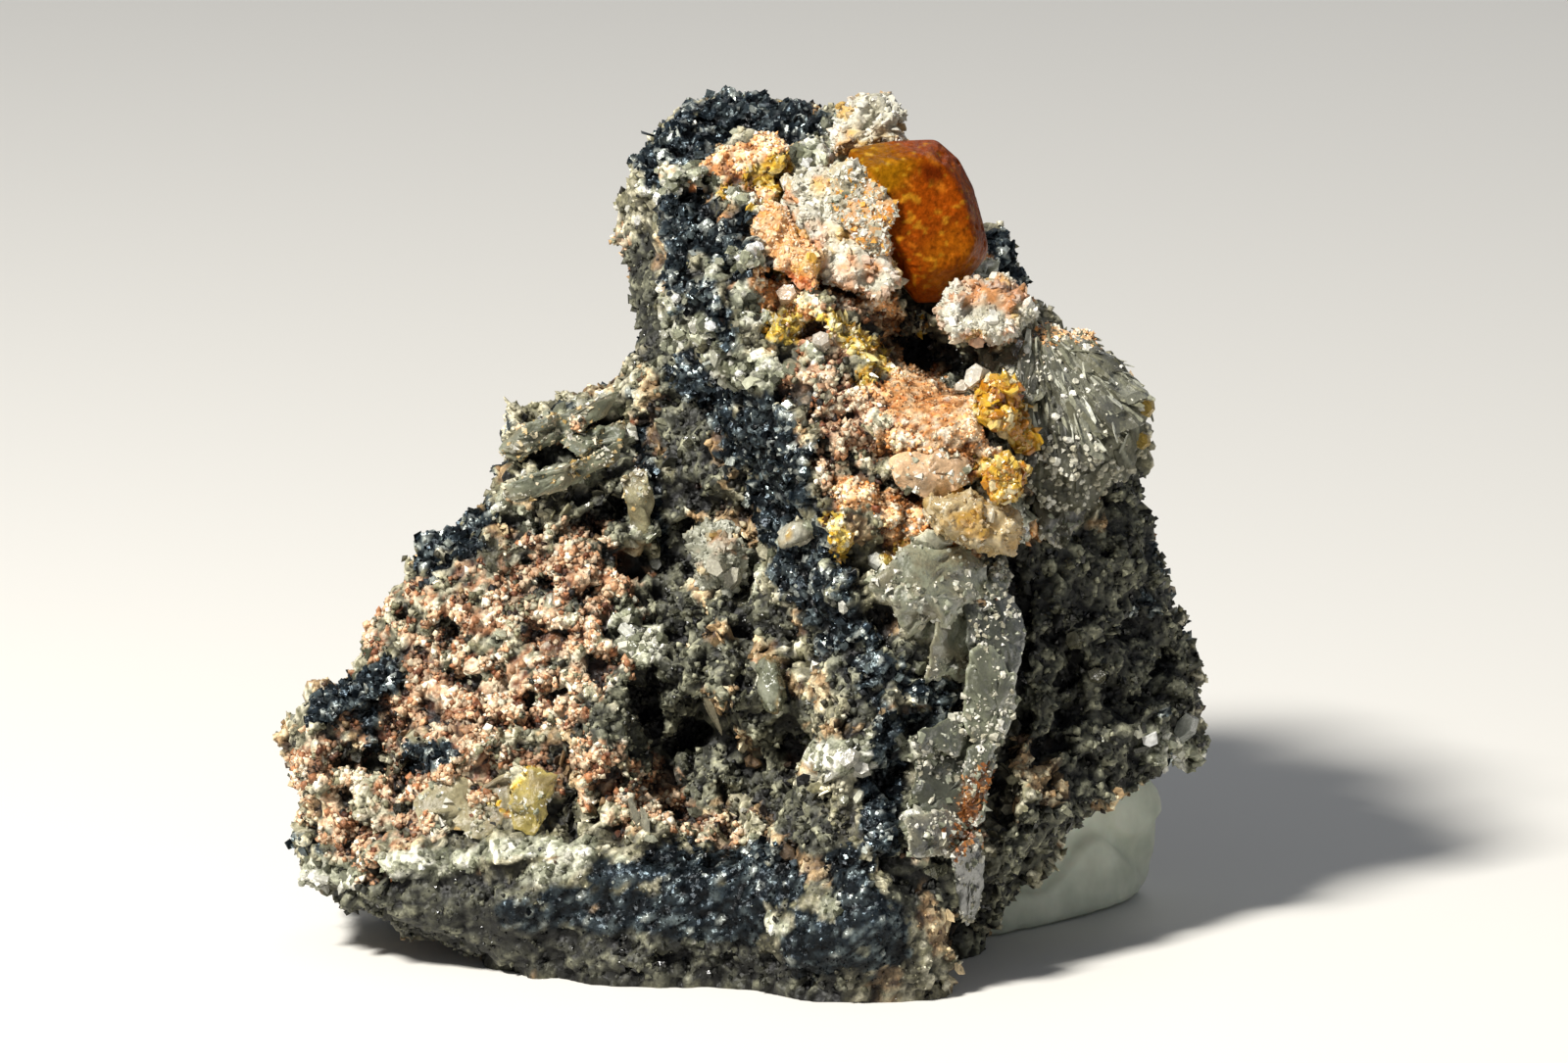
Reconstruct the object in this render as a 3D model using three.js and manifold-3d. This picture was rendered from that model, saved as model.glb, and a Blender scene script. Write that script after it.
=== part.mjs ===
// A wulfenite specimen: one blocky orange wulfenite crystal on a craggy piece of its host rock.
// The rock is a porous mix of quartz, dark galena and ochre crusts, broken on every side, about 48 mm
// wide. Plates of quartz, a fan of grey cerussite and yellow crystal clusters grow on it, and a wad of
// putty is pressed under its right side at the back, as a stand.
//
// Millimetres, +Z up, seen from -Y. The origin is on the ground under the middle of the specimen.
//
// The rock's faces all lean back a little, so everything is drawn in a leaning frame and tipped at the end:
// a place is [x, depth, height], with x to the right, depth away from the front and height up the lean.
// A spot is [x, height]: a place on the rock's front, whose depth is found from the rock itself.

import * as THREE from 'three';
import { ConvexGeometry } from 'three/addons/geometries/ConvexGeometry.js';
import { ImprovedNoise } from 'three/addons/math/ImprovedNoise.js';
import { mergeVertices } from 'three/addons/utils/BufferGeometryUtils.js';
import Module from 'manifold-3d';

const wasm = await Module();
wasm.setup();

// ---- Driving dimensions ----

const LEAN = THREE.MathUtils.degToRad(12); // how far the leaning frame tips back
const GROUND = 2.7; // height of the flat cut that the specimen rests on, once tipped
const GAP = 0.3; // clearance of a crystal in its socket
const ROCK_CELL = 1.9; // size of the facets of the rock
const PUTTY_CELL = 2.1; // size of the facets of the putty
const CRAG = 1.7; // how far the rock's broken blocks stand out from each other
const STOUT = 0.55; // how far the broken rock reaches past its slabs
const FRONT = -20; // a depth in front of everything

// ---- Rock ----
// A slab is an upright outline of spots, cut by planes. Each plane passes through `at` and faces `out`.
// `taper` draws the outline in with depth.

const slabs = {
  leftBlock: {
    outline: [
      [-23.2, 13], [-22.8, 14.4], [-19.9, 16.4], [-18.4, 18.2], [-17.9, 20.6], [-15.8, 24.5], [-13.7, 25.9],
      [-12.8, 29.2], [-11.6, 31.7], [-8, 31.6], [-4.5, 34], [0, 28], [2, 12], [3, 0.6], [-3, -0.4], [-8, 1],
      [-12, 3.2], [-18.6, 4.8], [-21.6, 6.4], [-22.4, 8.4], [-21.8, 9.8], [-22.8, 11],
    ],
    taper: 0.16,
    planes: [
      { at: [-10, -9.2, 7.6], out: [-0.12, -1, 0.42] }, // the wide crumbly face, leaning back
      { at: [-10, -9.2, 7.6], out: [-0.1, -1, -0.22] }, // the dark band under it, undercut
      { at: [-20, -4.8, 12], out: [-0.9, -1, 0.1] }, // the turned left end
      { at: [-10, 12, 12], out: [-0.15, 1, 0.35] }, // the back, leaning forward
      { at: [-18, 8, 14], out: [-0.8, 0.7, 0.1] }, // the broken back corner
    ],
    round: 2,
  },
  ridge: {
    outline: [
      [-5.8, 39], [-5, 41.4], [-2, 41.8], [2, 40], [4, 36], [6, 31], [7.5, 26], [12, 23.2], [14.2, 21],
      [14, 16.4], [12.6, 9], [9.8, 2.6], [7.4, -0.4], [5, -0.8], [2, 0], [0.5, 8], [-1, 14], [-3.4, 21],
      [-4.4, 28.4], [-4.6, 34.6],
    ],
    taper: 0.12,
    planes: [
      { at: [-2.5, -6.8, 39], out: [0.3, -1, 0.9] }, // the top, falling away to the back
      { at: [-1.5, -8.6, 32], out: [-1.1, -1, 0.22] }, // the steep left flank of the upper crest
      { at: [-1.5, -8.6, 32], out: [0.3, -1, 0.3] }, // the wide right flank
      { at: [6, -13.8, 10], out: [-1, -1, 0.3] }, // the lower crest, left
      { at: [6, -13.8, 10], out: [0.75, -1, 0.26] }, // the lower crest, right
      { at: [6, -14, 6], out: [0, -1, -0.5] }, // the toe, undercut
      { at: [4, 9, 20], out: [0, 1, 0.1] },
    ],
    round: 1.6,
  },
  shelf: {
    outline: [
      [-4.5, 40.5], [-1, 43.4], [3, 44.6], [7.8, 45.2], [8.4, 37], [9.4, 35.6], [14, 36.2], [14.4, 33],
      [14.4, 23], [5.5, 22], [0, 31],
    ],
    taper: 0.1,
    planes: [
      { at: [3, -5.8, 38], out: [0.12, -1, 0.5] },
      { at: [6, -9.4, 29], out: [0.06, -1, 0.22] },
      { at: [13.5, -8.6, 28], out: [1.2, -1, 0.1] },
      { at: [4, 7, 30], out: [0, 1, 0.2] },
    ],
    round: 1.4,
  },
  knob: {
    outline: [
      [-4.6, 43.8], [-4.2, 46.2], [-2.8, 46.8], [5.6, 46.7], [6.2, 42], [5, 34], [-3.8, 34], [-5, 36.4],
      [-6.6, 39.2], [-7.1, 41.1], [-6, 43],
    ],
    taper: 0.1,
    planes: [
      { at: [0, 4.4, 42], out: [0.05, -1, 0.02] },
      { at: [-4.4, 5.5, 42], out: [-1.2, -1, 0] },
      { at: [0, 13, 42], out: [-0.1, 1, 0.3] },
    ],
    round: 1,
  },
  rightFlank: {
    outline: [
      [11, 34], [15.4, 34.8], [17, 33.2], [20.4, 30.6], [21, 25], [22.2, 21.6], [23.4, 16.8], [23.9, 14],
      [23.4, 12.6], [22, 12.2], [19.2, 10], [15.4, 7.6], [13.6, 5.4], [11.6, 2.4], [7, 0.6], [7, 20],
    ],
    taper: 0.14,
    planes: [
      { at: [13, -5, 18], out: [0.42, -1, 0.12] },
      { at: [21, 0.6, 16], out: [1.3, -1, 0.05] },
      { at: [16, -3.6, 10], out: [0.3, -1, -0.3] },
      { at: [15, 13, 18], out: [0.25, 1, 0.15] },
    ],
    round: 2,
  },
  backShoulder: {
    outline: [[8, 37.6], [11.8, 39.9], [14.1, 39.4], [15.4, 37.4], [15.8, 35], [14, 26], [5, 28]],
    taper: 0.1,
    planes: [
      { at: [12, 4.4, 36], out: [0.3, -1, 0.1] },
      { at: [12, 12, 36], out: [0.2, 1, 0.3] },
    ],
    round: 1.2,
  },
  heart: {
    outline: [
      [-15, 6], [-13, 22], [-4, 34], [5, 36], [14, 33], [18, 22], [17, 13], [11, 6], [9, -3], [-8, -3],
    ],
    taper: 0.2,
    planes: [
      { at: [0, 1, 18], out: [0.1, -1, 0.1] },
      { at: [0, 17, 14], out: [0, 1, 0.22] },
      { at: [9, 14, 14], out: [0.7, 0.7, 0.1] },
    ],
    round: 4,
  },
};

// Veins and ribs that stand out from the rock as rounded ledges, between two spots.
const veins = [
  { from: [-12.2, 26.1], to: [-5.4, 29.6], radius: 1.2, proud: 0.5 },
  { from: [-11, 29.3], to: [-5.4, 31.4], radius: 1.1, proud: 0.4 },
  { from: [-19, 8.6], to: [-8, 7.9], radius: 1.4, proud: 0.2 },
  { from: [-8, 7.9], to: [0.4, 7.3], radius: 1.5, proud: 0.3 },
  { from: [-5, 26.6], to: [-4.2, 20], radius: 1, proud: 0.8 },
  { from: [8.6, 24.4], to: [13.6, 23.4], radius: 1.3, proud: 0.6 },
  { from: [-4.4, 38.6], to: [2, 39.6], radius: 1.6, proud: 0.6 },
  { from: [-3.4, 36.6], to: [-2.2, 30.4], radius: 1.7, proud: 0.9 },
  { from: [-2.2, 30.4], to: [1.8, 24.4], radius: 1.7, proud: 1.1 },
  { from: [1.8, 24.4], to: [4.8, 20.4], radius: 1.7, proud: 0.8 },
  { from: [7, 30], to: [12, 27.4], radius: 2.8, proud: 0.9 },
];

// Hollows in the rock's front: a spot, half width and half height, how deep they go in, and how many
// degrees their height is turned to the left.
const hollows = [
  { at: [-4.2, 23.4], size: [2.4, 7.4], deep: 5.4, turn: 8 }, // the long cleft left of the ridge
  { at: [-3.4, 13.4], size: [3.4, 4.8], deep: 7, turn: 14 }, // its wide lower end
  { at: [1, 11.8], size: [2.8, 3.8], deep: 4.4, turn: 10 },
  { at: [-7.4, 27.7], size: [3.4, 1.8], deep: 3.8, turn: 24 }, // between the two upper veins
  { at: [9.6, 33], size: [4.4, 2.3], deep: 6.4, turn: 6 }, // the dark slot under the wulfenite
  { at: [5.2, 34.6], size: [2.8, 1.4], deep: 3, turn: -20 }, // under the quartz plates
  { at: [14.3, 14], size: [1.7, 9.4], deep: 5, turn: -6 }, // the crevice right of the ridge
  { at: [-19, 13.2], size: [2.8, 1.9], deep: 3.2, turn: 0 }, // the pit at the left end
  { at: [7.6, 12.6], size: [2.6, 1.9], deep: 3, turn: 6 }, // the black pocket low on the ridge
  { at: [-9.6, 23.4], size: [2.6, 1.4], deep: 2.8, turn: 16 },
  { at: [17, 7], size: [3.8, 1.9], deep: 3.4, turn: 16 }, // the shadow over the putty
];

// The putty: a soft squashed lump, with the fold that the press of the rock left in it.
const putty = {
  outline: [
    [9.6, 4.4], [12, 1], [17, 1.2], [20.8, 4.2], [23, 8], [23.4, 12.2], [21.6, 14.4], [15, 12], [11, 8.8],
  ],
  taper: 0,
  planes: [
    { at: [13, 0.8, 5], out: [0.86, -1, 0.1] },
    { at: [16, 14.6, 6], out: [0.2, 1, 0.3] },
  ],
  round: 3,
};
const puttyFold = { from: [11, 3, 6.6], to: [22, 9, 10], radius: 0.6 };

// ---- Fields: negative inside, in mm ----

const noise = new ImprovedNoise();

function smoothMax(a, b, reach) {
  const near = Math.max(reach - Math.abs(a - b), 0) / reach;
  return Math.max(a, b) + (near * near * reach) / 4;
}

const smoothMin = (a, b, reach) => -smoothMax(-a, -b, reach);

// Distance to a closed outline, negative inside it.
function outlineDistance(outline, x, height) {
  let nearest = Infinity;
  let inside = false;
  outline.forEach(([ax, ah], i) => {
    const [bx, bh] = outline[(i + 1) % outline.length];
    const along = ((x - ax) * (bx - ax) + (height - ah) * (bh - ah)) / ((bx - ax) ** 2 + (bh - ah) ** 2);
    const t = THREE.MathUtils.clamp(along, 0, 1);
    nearest = Math.min(nearest, Math.hypot(x - ax - t * (bx - ax), height - ah - t * (bh - ah)));
    if (ah > height !== bh > height && x < ax + ((height - ah) * (bx - ax)) / (bh - ah)) inside = !inside;
  });
  return inside ? -nearest : nearest;
}

function slabField({ outline, taper, planes, round }, x, depth, height) {
  let value = outlineDistance(outline, x, height) + taper * Math.max(0, depth);
  for (const { at, out } of planes) {
    const along = out[0] * (x - at[0]) + out[1] * (depth - at[1]) + out[2] * (height - at[2]);
    value = smoothMax(value, along / Math.hypot(...out), round);
  }
  return value;
}

// A round bar between two places.
function barField({ from, to, radius }, x, depth, height) {
  const start = new THREE.Vector3(...from);
  const here = new THREE.Vector3(x, depth, height);
  const line = new THREE.Line3(start, new THREE.Vector3(...to));
  return line.closestPointToPoint(here, true, start).distanceTo(here) - radius;
}

function hollowField({ at, size, deep, turn }, x, depth, height) {
  const angle = THREE.MathUtils.degToRad(turn);
  const across = (x - at[0]) * Math.cos(angle) + (height - at[2]) * Math.sin(angle);
  const up = (height - at[2]) * Math.cos(angle) - (x - at[0]) * Math.sin(angle);
  const reach = Math.hypot(across / size[0], (depth - at[1]) / deep, up / size[1]);
  return (reach - 1) * Math.min(...size, deep);
}

const scatter = (a, b, c) => {
  const value = Math.sin(a * 127.1 + b * 311.7 + c * 74.7) * 43758.5453;
  return value - Math.floor(value);
};

// Broken blocks: space is shared out among scattered points, and each block stands out by its own amount.
function blocks(x, depth, height, size) {
  const [a, b, c] = [x, depth, height].map((value) => Math.floor(value / size));
  let nearest = Infinity;
  let amount = 0;
  for (let i = a - 1; i <= a + 1; i++)
    for (let j = b - 1; j <= b + 1; j++)
      for (let k = c - 1; k <= c + 1; k++) {
        const px = (i + scatter(i, j, k)) * size;
        const py = (j + scatter(j, k, i + 9)) * size;
        const pz = (k + scatter(k, i, j + 17)) * size;
        const away = Math.hypot(x - px, depth - py, height - pz);
        if (away > nearest) continue;
        nearest = away;
        amount = scatter(i + 5, k + 3, j + 1) - 0.5;
      }
  return amount;
}

// Broken, crumbly relief: a slow swell, blocks of two sizes and a finer grain.
function relief(x, depth, height) {
  const swell = noise.noise(x / 8 + 3.1, depth / 8 + 7.7, height / 8 + 1.3);
  const grain = noise.noise(x / 2.3, depth / 2.3 + 4.4, height / 2.3 + 9.1);
  const broken = blocks(x + swell, depth, height, 4.2) + 0.6 * blocks(x, depth + 50, height + swell, 2.6);
  return 0.8 * swell + CRAG * broken + 0.5 * grain;
}

function slabsField(x, depth, height) {
  let value = Infinity;
  for (const slab of Object.values(slabs)) value = smoothMin(value, slabField(slab, x, depth, height), 1.6);
  return value;
}

// The depth of the front of a field at a spot, or null where the spot is off it.
function frontOf(field, [x, height]) {
  for (let depth = FRONT; depth < 12; depth += 0.25) if (field(x, depth, height) < 0) return depth;
  return null;
}

const onSlabs = (spot, ahead = 0) => [spot[0], frontOf(slabsField, spot) - ahead, spot[1]];
const bars = veins.map(({ from, to, radius, proud }) => ({
  from: onSlabs(from, proud - radius / 2),
  to: onSlabs(to, proud - radius / 2),
  radius,
}));
const pits = hollows.map((hollow) => ({ ...hollow, at: onSlabs(hollow.at) }));

function rockField(x, depth, height) {
  let value = slabsField(x, depth, height);
  if (value > 5 || value < -12) return value;
  for (const bar of bars) value = smoothMin(value, barField(bar, x, depth, height), 0.8);
  for (const pit of pits) value = smoothMax(value, -hollowField(pit, x, depth, height), 0.8);
  return value + relief(x, depth, height) - STOUT;
}

function puttyField(x, depth, height) {
  return smoothMax(slabField(putty, x, depth, height), -barField(puttyFold, x, depth, height), 1.4);
}

// ---- Surface of a field ----

// Corner n of a grid cell is at bits 0, 1 and 2 of n. A set of corners is a mask of eight bits.
// True if every corner of the set can be reached from any other along the cell's edges.
function inOnePiece(set) {
  let reached = set & -set;
  for (let pass = 0; pass < 7; pass++)
    for (let n = 0; n < 8; n++)
      if (reached & (1 << n)) reached |= ((1 << (n ^ 1)) | (1 << (n ^ 2)) | (1 << (n ^ 4))) & set;
  return reached === set;
}

// A cell is sound if its inside corners hang together and so do its outside corners: one sheet of surface
// passes through it. Every other cell is filled in, corner by corner, until all are sound.
function fillPinches(values, cellCorners, cellCount) {
  const sound = Array.from({ length: 256 }, (_, set) => inOnePiece(set) && inOnePiece(255 ^ set));
  let filled = true;
  while (filled) {
    filled = false;
    for (let p = 0; p < cellCount; p++) {
      let set = 0;
      cellCorners.forEach((offset, n) => (set |= (values[p + offset] < 0) << n));
      if (sound[set]) continue;
      const outside = cellCorners.map((offset) => p + offset).filter((q) => values[q] >= 0);
      values[outside.reduce((a, b) => (values[a] < values[b] ? a : b))] = -0.1;
      filled = true;
    }
  }
}

// Surface nets: each grid cell that the surface crosses gets one vertex, at the mean of the crossings on
// its edges, and each grid edge that the surface crosses gets one quad, joining the four cells around it.
function surfaceOf(field, low, high, cell) {
  const count = low.map((value, axis) => Math.ceil((high[axis] - value) / cell) + 1);
  const step = [1, count[0], count[0] * count[1]];
  const place = (i, j, k) => i + j * step[1] + k * step[2];
  const values = new Float32Array(count[0] * count[1] * count[2]);
  for (let k = 0; k < count[2]; k++)
    for (let j = 0; j < count[1]; j++)
      for (let i = 0; i < count[0]; i++)
        values[place(i, j, k)] = field(low[0] + i * cell, low[1] + j * cell, low[2] + k * cell);

  const corners = Array.from({ length: 8 }, (_, n) => [n & 1, (n >> 1) & 1, (n >> 2) & 1]);
  fillPinches(values, corners.map((corner) => place(...corner)), values.length - place(1, 1, 1));
  const edges = [];
  corners.forEach((corner, n) => {
    for (let axis = 0; axis < 3; axis++) if (!corner[axis]) edges.push([n, n | (1 << axis), axis]);
  });

  const positions = [];
  const vertexOf = new Int32Array(values.length).fill(-1);
  for (let k = 0; k < count[2] - 1; k++)
    for (let j = 0; j < count[1] - 1; j++)
      for (let i = 0; i < count[0] - 1; i++) {
        const here = corners.map(([a, b, c]) => values[place(i + a, j + b, k + c)]);
        const sum = [0, 0, 0];
        let crossings = 0;
        for (const [from, to, axis] of edges) {
          if (here[from] < 0 === here[to] < 0) continue;
          const point = [...corners[from]];
          point[axis] = here[from] / (here[from] - here[to]);
          point.forEach((value, n) => (sum[n] += value));
          crossings++;
        }
        if (!crossings) continue;
        vertexOf[place(i, j, k)] = positions.length / 3;
        [i, j, k].forEach((index, n) => positions.push(low[n] + (index + sum[n] / crossings) * cell));
      }

  const apart = (a, b) => Math.hypot(...[0, 1, 2].map((n) => positions[3 * a + n] - positions[3 * b + n]));
  const triangles = [];
  for (let k = 1; k < count[2] - 1; k++)
    for (let j = 1; j < count[1] - 1; j++)
      for (let i = 1; i < count[0] - 1; i++)
        for (let axis = 0; axis < 3; axis++) {
          const p = place(i, j, k);
          const inside = values[p] < 0;
          if (inside === values[p + step[axis]] < 0) continue;
          const b = step[(axis + 1) % 3];
          const c = step[(axis + 2) % 3];
          const quad = [p - b - c, p - c, p, p - b].map((q) => vertexOf[q]);
          if (!inside) quad.reverse();
          const [q, r, s, t] = quad;
          if (apart(q, s) < apart(r, t)) triangles.push(q, r, s, q, s, t);
          else triangles.push(r, s, t, r, t, q);
        }
  const geometry = new THREE.BufferGeometry();
  geometry.setAttribute('position', new THREE.Float32BufferAttribute(positions, 3));
  return geometry.setIndex(triangles);
}

// ---- Solids ----

function solidOf(geometry) {
  const bare = geometry.clone();
  bare.deleteAttribute('normal');
  bare.deleteAttribute('uv');
  const merged = mergeVertices(bare, 1e-4);
  const triVerts = new Uint32Array(merged.index.array);
  const vertProperties = merged.attributes.position.array;
  return new wasm.Manifold(new wasm.Mesh({ numProp: 3, vertProperties, triVerts }));
}

const largestOf = (solid) => solid.decompose().reduce((a, b) => (a.volume() > b.volume() ? a : b));

// A crystal is one or more convex pieces grown together. `grow` widens each piece all round.
function crystalOf(pieces, grow = 0) {
  const signs = grow ? [-grow, grow] : [0];
  const corners = signs.flatMap((a) => signs.flatMap((b) => signs.map((c) => [a, b, c])));
  return pieces
    .map((points) => {
      const wide = points.flatMap(([x, depth, height]) =>
        corners.map(([a, b, c]) => new THREE.Vector3(x + a, depth + b, height + c)),
      );
      return solidOf(new ConvexGeometry(wide));
    })
    .reduce((whole, piece) => whole.add(piece));
}

const middleOf = (rim) => [0, 1].map((n) => rim.reduce((sum, spot) => sum + spot[n], 0) / rim.length);
const towards = (a, b, share) => a.map((value, n) => value + (b[n] - value) * share);

function drawnIn(spot, middle, bevel) {
  const reach = Math.hypot(spot[0] - middle[0], spot[1] - middle[1]);
  return towards(spot, middle, Math.min(0.9, bevel / reach));
}

// The places of a bevelled plate: a rim of spots round its middle plane, and a rim drawn in by `bevel` on
// its two faces. `tip` is how the plate falls back per mm of x and of height.
function platePlaces({ rim, thickness, bevel = 0.6, tip = [0, 0] }, depth) {
  const middle = middleOf(rim);
  const place = ([x, height], ahead) => [
    x,
    depth + tip[0] * (x - middle[0]) + tip[1] * (height - middle[1]) - ahead,
    height,
  ];
  const inner = rim.map((spot) => drawnIn(spot, middle, bevel));
  return [
    ...rim.map((spot) => place(spot, 0)),
    ...inner.map((spot) => place(spot, thickness / 2)),
    ...inner.map((spot) => place(spot, -thickness / 2)),
  ];
}

// The mean depth of the rock's front under a plate, with the plate's own tip taken out.
function seatOf({ rim, tip = [0, 0] }) {
  const middle = middleOf(rim);
  const depths = [middle, ...rim.map((spot) => towards(spot, middle, 0.4))]
    .map((spot) => [spot, frontOf(rockField, spot)])
    .filter(([, depth]) => depth !== null)
    .map(([[x, height], depth]) => depth - tip[0] * (x - middle[0]) - tip[1] * (height - middle[1]));
  return depths.reduce((sum, depth) => sum + depth, 0) / depths.length;
}

// ---- Crystals ----
// Listed from the one kept whole to those that are cut to fit round it. `proud` is how far the first
// plate's middle plane stands in front of the rock; `ahead` is how far a plate stands before the first.

// The wulfenite: a thick square table with its rim cut back by pyramid faces, its left side in the rock.
const wulfenite = {
  depth: -4,
  thickness: 5,
  flank: 1.3,
  rim: [
    [5.3, 43.5], [7.2, 43.9], [9.75, 44], [10.95, 43], [11.7, 41.5], [12.15, 39.9], [12.45, 38.4],
    [12.1, 37.7], [11.2, 36.6], [10, 35.7], [8.7, 35.6], [7.6, 37.2], [6, 39.6], [5, 41.8],
  ],
  table: [
    [6.2, 42.4], [9.2, 43.05], [10.1, 42.6], [10.9, 41.4], [11.4, 40], [11.75, 38.8], [11.4, 38],
    [10.5, 37.35], [9, 37.3], [8.3, 38], [6.6, 40.6],
  ],
  tip: [0.14, 0],
};

function wulfenitePlaces({ depth, thickness, flank, rim, table, tip }) {
  const place = ([x, height], ahead) => [x, depth + tip[0] * (x - table[0][0]) - ahead, height];
  return [
    ...rim.flatMap((spot) => [place(spot, flank / 2), place(spot, -flank / 2)]),
    ...table.flatMap((spot) => [place(spot, thickness / 2), place(spot, -thickness / 2)]),
  ];
}

// The cerussite fan: flat blades that spread from one root, each set a little behind the last.
const fan = { root: [12.4, 29.6], reach: 8.5, blades: 5, from: -34, to: 34, width: 4.6, thickness: 2.6 };

function fanBlades({ root, reach, blades, from, to, width, thickness }) {
  return Array.from({ length: blades }, (_, n) => {
    const share = n / (blades - 1);
    const angle = THREE.MathUtils.degToRad(THREE.MathUtils.lerp(from, to, share));
    const along = reach * (1 - 0.3 * Math.abs(share - 0.45));
    const at = (out, side) => [
      root[0] + out * Math.cos(angle) - side * Math.sin(angle),
      root[1] + out * Math.sin(angle) + side * Math.cos(angle),
    ];
    const half = width / 2;
    return {
      rim: [
        at(-0.4, -half * 0.6), at(along * 0.7, -half), at(along, -half * 0.4), at(along, half * 0.5),
        at(along * 0.6, half), at(-0.4, half * 0.6),
      ],
      ahead: 0.9 - 1.6 * Math.abs(share - 0.5),
      thickness,
      bevel: 0.9,
      tip: [0.34, 0.16],
    };
  });
}

const crystals = {
  wulfenite_crystal: { color: 0xd9700f, roughness: 0.25, places: [wulfenitePlaces(wulfenite)] },
  yellow_crystals_upper: {
    color: 0xe3b31e,
    roughness: 0.45,
    proud: 0.3,
    plates: [
      {
        rim: [[12, 32], [13.5, 32.4], [14.2, 30.6], [14, 28.8], [12.8, 28.2], [11.8, 29.8]],
        thickness: 2.6, bevel: 0.8, tip: [0.3, 0.1],
      },
      {
        rim: [[12.8, 30.6], [14, 31], [15, 29.6], [14.4, 28], [13, 28]],
        thickness: 2.6, ahead: -0.7, tip: [0.5, 0],
      },
    ],
  },
  yellow_crystals_lower: {
    color: 0xe3b31e,
    roughness: 0.4,
    proud: 0.3,
    plates: [
      {
        rim: [[12, 27.4], [13.4, 27.9], [14.4, 27.2], [14.7, 26], [13.7, 25.2], [12.2, 25.6]],
        thickness: 2.8, tip: [0.3, 0.1],
      },
    ],
  },
  top_quartz_plate: {
    color: 0xdedac8,
    roughness: 0.35,
    depth: -1.2,
    plates: [
      {
        rim: [
          [4.3, 44.6], [5.4, 46.3], [6.2, 46.7], [7.6, 46.4], [8.3, 45.2], [8.2, 43.4], [6.6, 43], [4.6, 43],
        ],
        thickness: 2.4, bevel: 0.5, tip: [0.1, 0.4],
      },
    ],
  },
  middle_quartz_plate: {
    color: 0xd9d2bd,
    roughness: 0.35,
    proud: 0.3,
    plates: [
      {
        rim: [[2, 42], [4.6, 42.7], [6.6, 42], [8, 40.6], [8.3, 38.8], [7, 37.4], [4, 37.6], [2.2, 39.4]],
        thickness: 1.8, bevel: 0.5, tip: [0.05, 0.34],
      },
      {
        rim: [[3, 38.6], [7.8, 38.6], [8.3, 36.8], [6.8, 35.8], [4.2, 36.4]],
        thickness: 1.6, bevel: 0.4, ahead: 1, tip: [0.1, 0.2],
      },
    ],
  },
  peach_plate: {
    color: 0xe9b98c,
    roughness: 0.6,
    proud: 0.3,
    plates: [
      {
        rim: [[0.4, 40.2], [2, 40.6], [3.4, 39.4], [4.2, 37.6], [3.6, 36.2], [2.4, 36.6], [0.8, 38.4]],
        thickness: 2, tip: [0.1, 0.4],
      },
    ],
  },
  ledge_quartz_plate: {
    color: 0xe0d3c0,
    roughness: 0.45,
    proud: 0.3,
    plates: [
      {
        rim: [[9.4, 35], [11.4, 36.8], [12.8, 37.4], [14.3, 36.7], [14.8, 35.2], [13.6, 33.8], [10.4, 33.6]],
        thickness: 2.6, tip: [0.2, 0.5],
      },
    ],
  },
  horn_crystal: {
    color: 0xe6ddcb,
    roughness: 0.35,
    proud: 0.3,
    plates: [
      {
        rim: [[9, 25.6], [11.8, 26.3], [13.6, 25.2], [14.4, 24], [13.6, 22.6], [12, 22.8], [9.4, 24]],
        thickness: 2.8, bevel: 0.8, tip: [0.2, -0.1],
      },
    ],
  },
  curtain_plate: {
    color: 0xb8bcab,
    roughness: 0.3,
    proud: 0.3,
    plates: [
      {
        rim: [[11.8, 21.6], [13.7, 21.2], [14.3, 18.8], [14, 16.4], [13.3, 14.6], [11.4, 15], [11, 18]],
        thickness: 1.5, bevel: 0.9, tip: [0.6, 0.2],
      },
      {
        rim: [[11.2, 16], [13.5, 15.8], [13, 12.8], [12.4, 9.6], [11.5, 8.4], [10.6, 9], [10.4, 12.4]],
        thickness: 1.5, bevel: 0.9, ahead: 0.9, tip: [0.6, 0.2],
      },
    ],
  },
  clear_crystal: {
    color: 0xcfd2c4,
    roughness: 0.2,
    proud: 0.3,
    plates: [
      {
        rim: [[1.5, 23.8], [2.6, 24.8], [3.8, 24.7], [4, 23.9], [2.8, 23.1], [1.8, 23]],
        thickness: 1.8, bevel: 0.4, tip: [0.3, 0.2],
      },
    ],
  },
  sugar_cluster: {
    color: 0xc4c6ba,
    roughness: 0.4,
    proud: 0.3,
    plates: [
      {
        rim: [[-3.2, 23.8], [-2.2, 24.8], [-1, 24.6], [0.2, 23.6], [0.1, 22], [-1, 21], [-2.6, 21.2]],
        thickness: 3, bevel: 0.9, tip: [-0.2, 0.1],
      },
    ],
  },
  green_clear_crystal: {
    color: 0xb3b59a,
    roughness: 0.25,
    proud: 0.6,
    plates: [
      {
        rim: [[0.3, 17.2], [0.9, 18.1], [1.8, 17.6], [2.3, 16], [1.9, 14.5], [1, 14.7]],
        thickness: 1.8, bevel: 0.5, tip: [-0.3, 0.2],
      },
    ],
  },
  grey_crystal_fan: {
    color: 0x8a8a80,
    roughness: 0.3,
    proud: 0.6,
    base: {
      rim: [[13, 28], [20, 25], [21, 29], [19.6, 32.6], [14, 33]],
      tip: [0.34, 0.16],
    },
    plates: fanBlades(fan),
  },
};

function placesOf({ places, plates, base, depth, proud }) {
  if (places) return places;
  const middle = depth ?? seatOf(base ?? plates[0]) - proud;
  return plates.map((plate) => platePlaces(plate, middle - (plate.ahead ?? 0)));
}

// ---- Small crystals fused to the rock ----
// Patches of them, each scattered about a spot. Six sides make quartz points, four make blocky grains.

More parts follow.
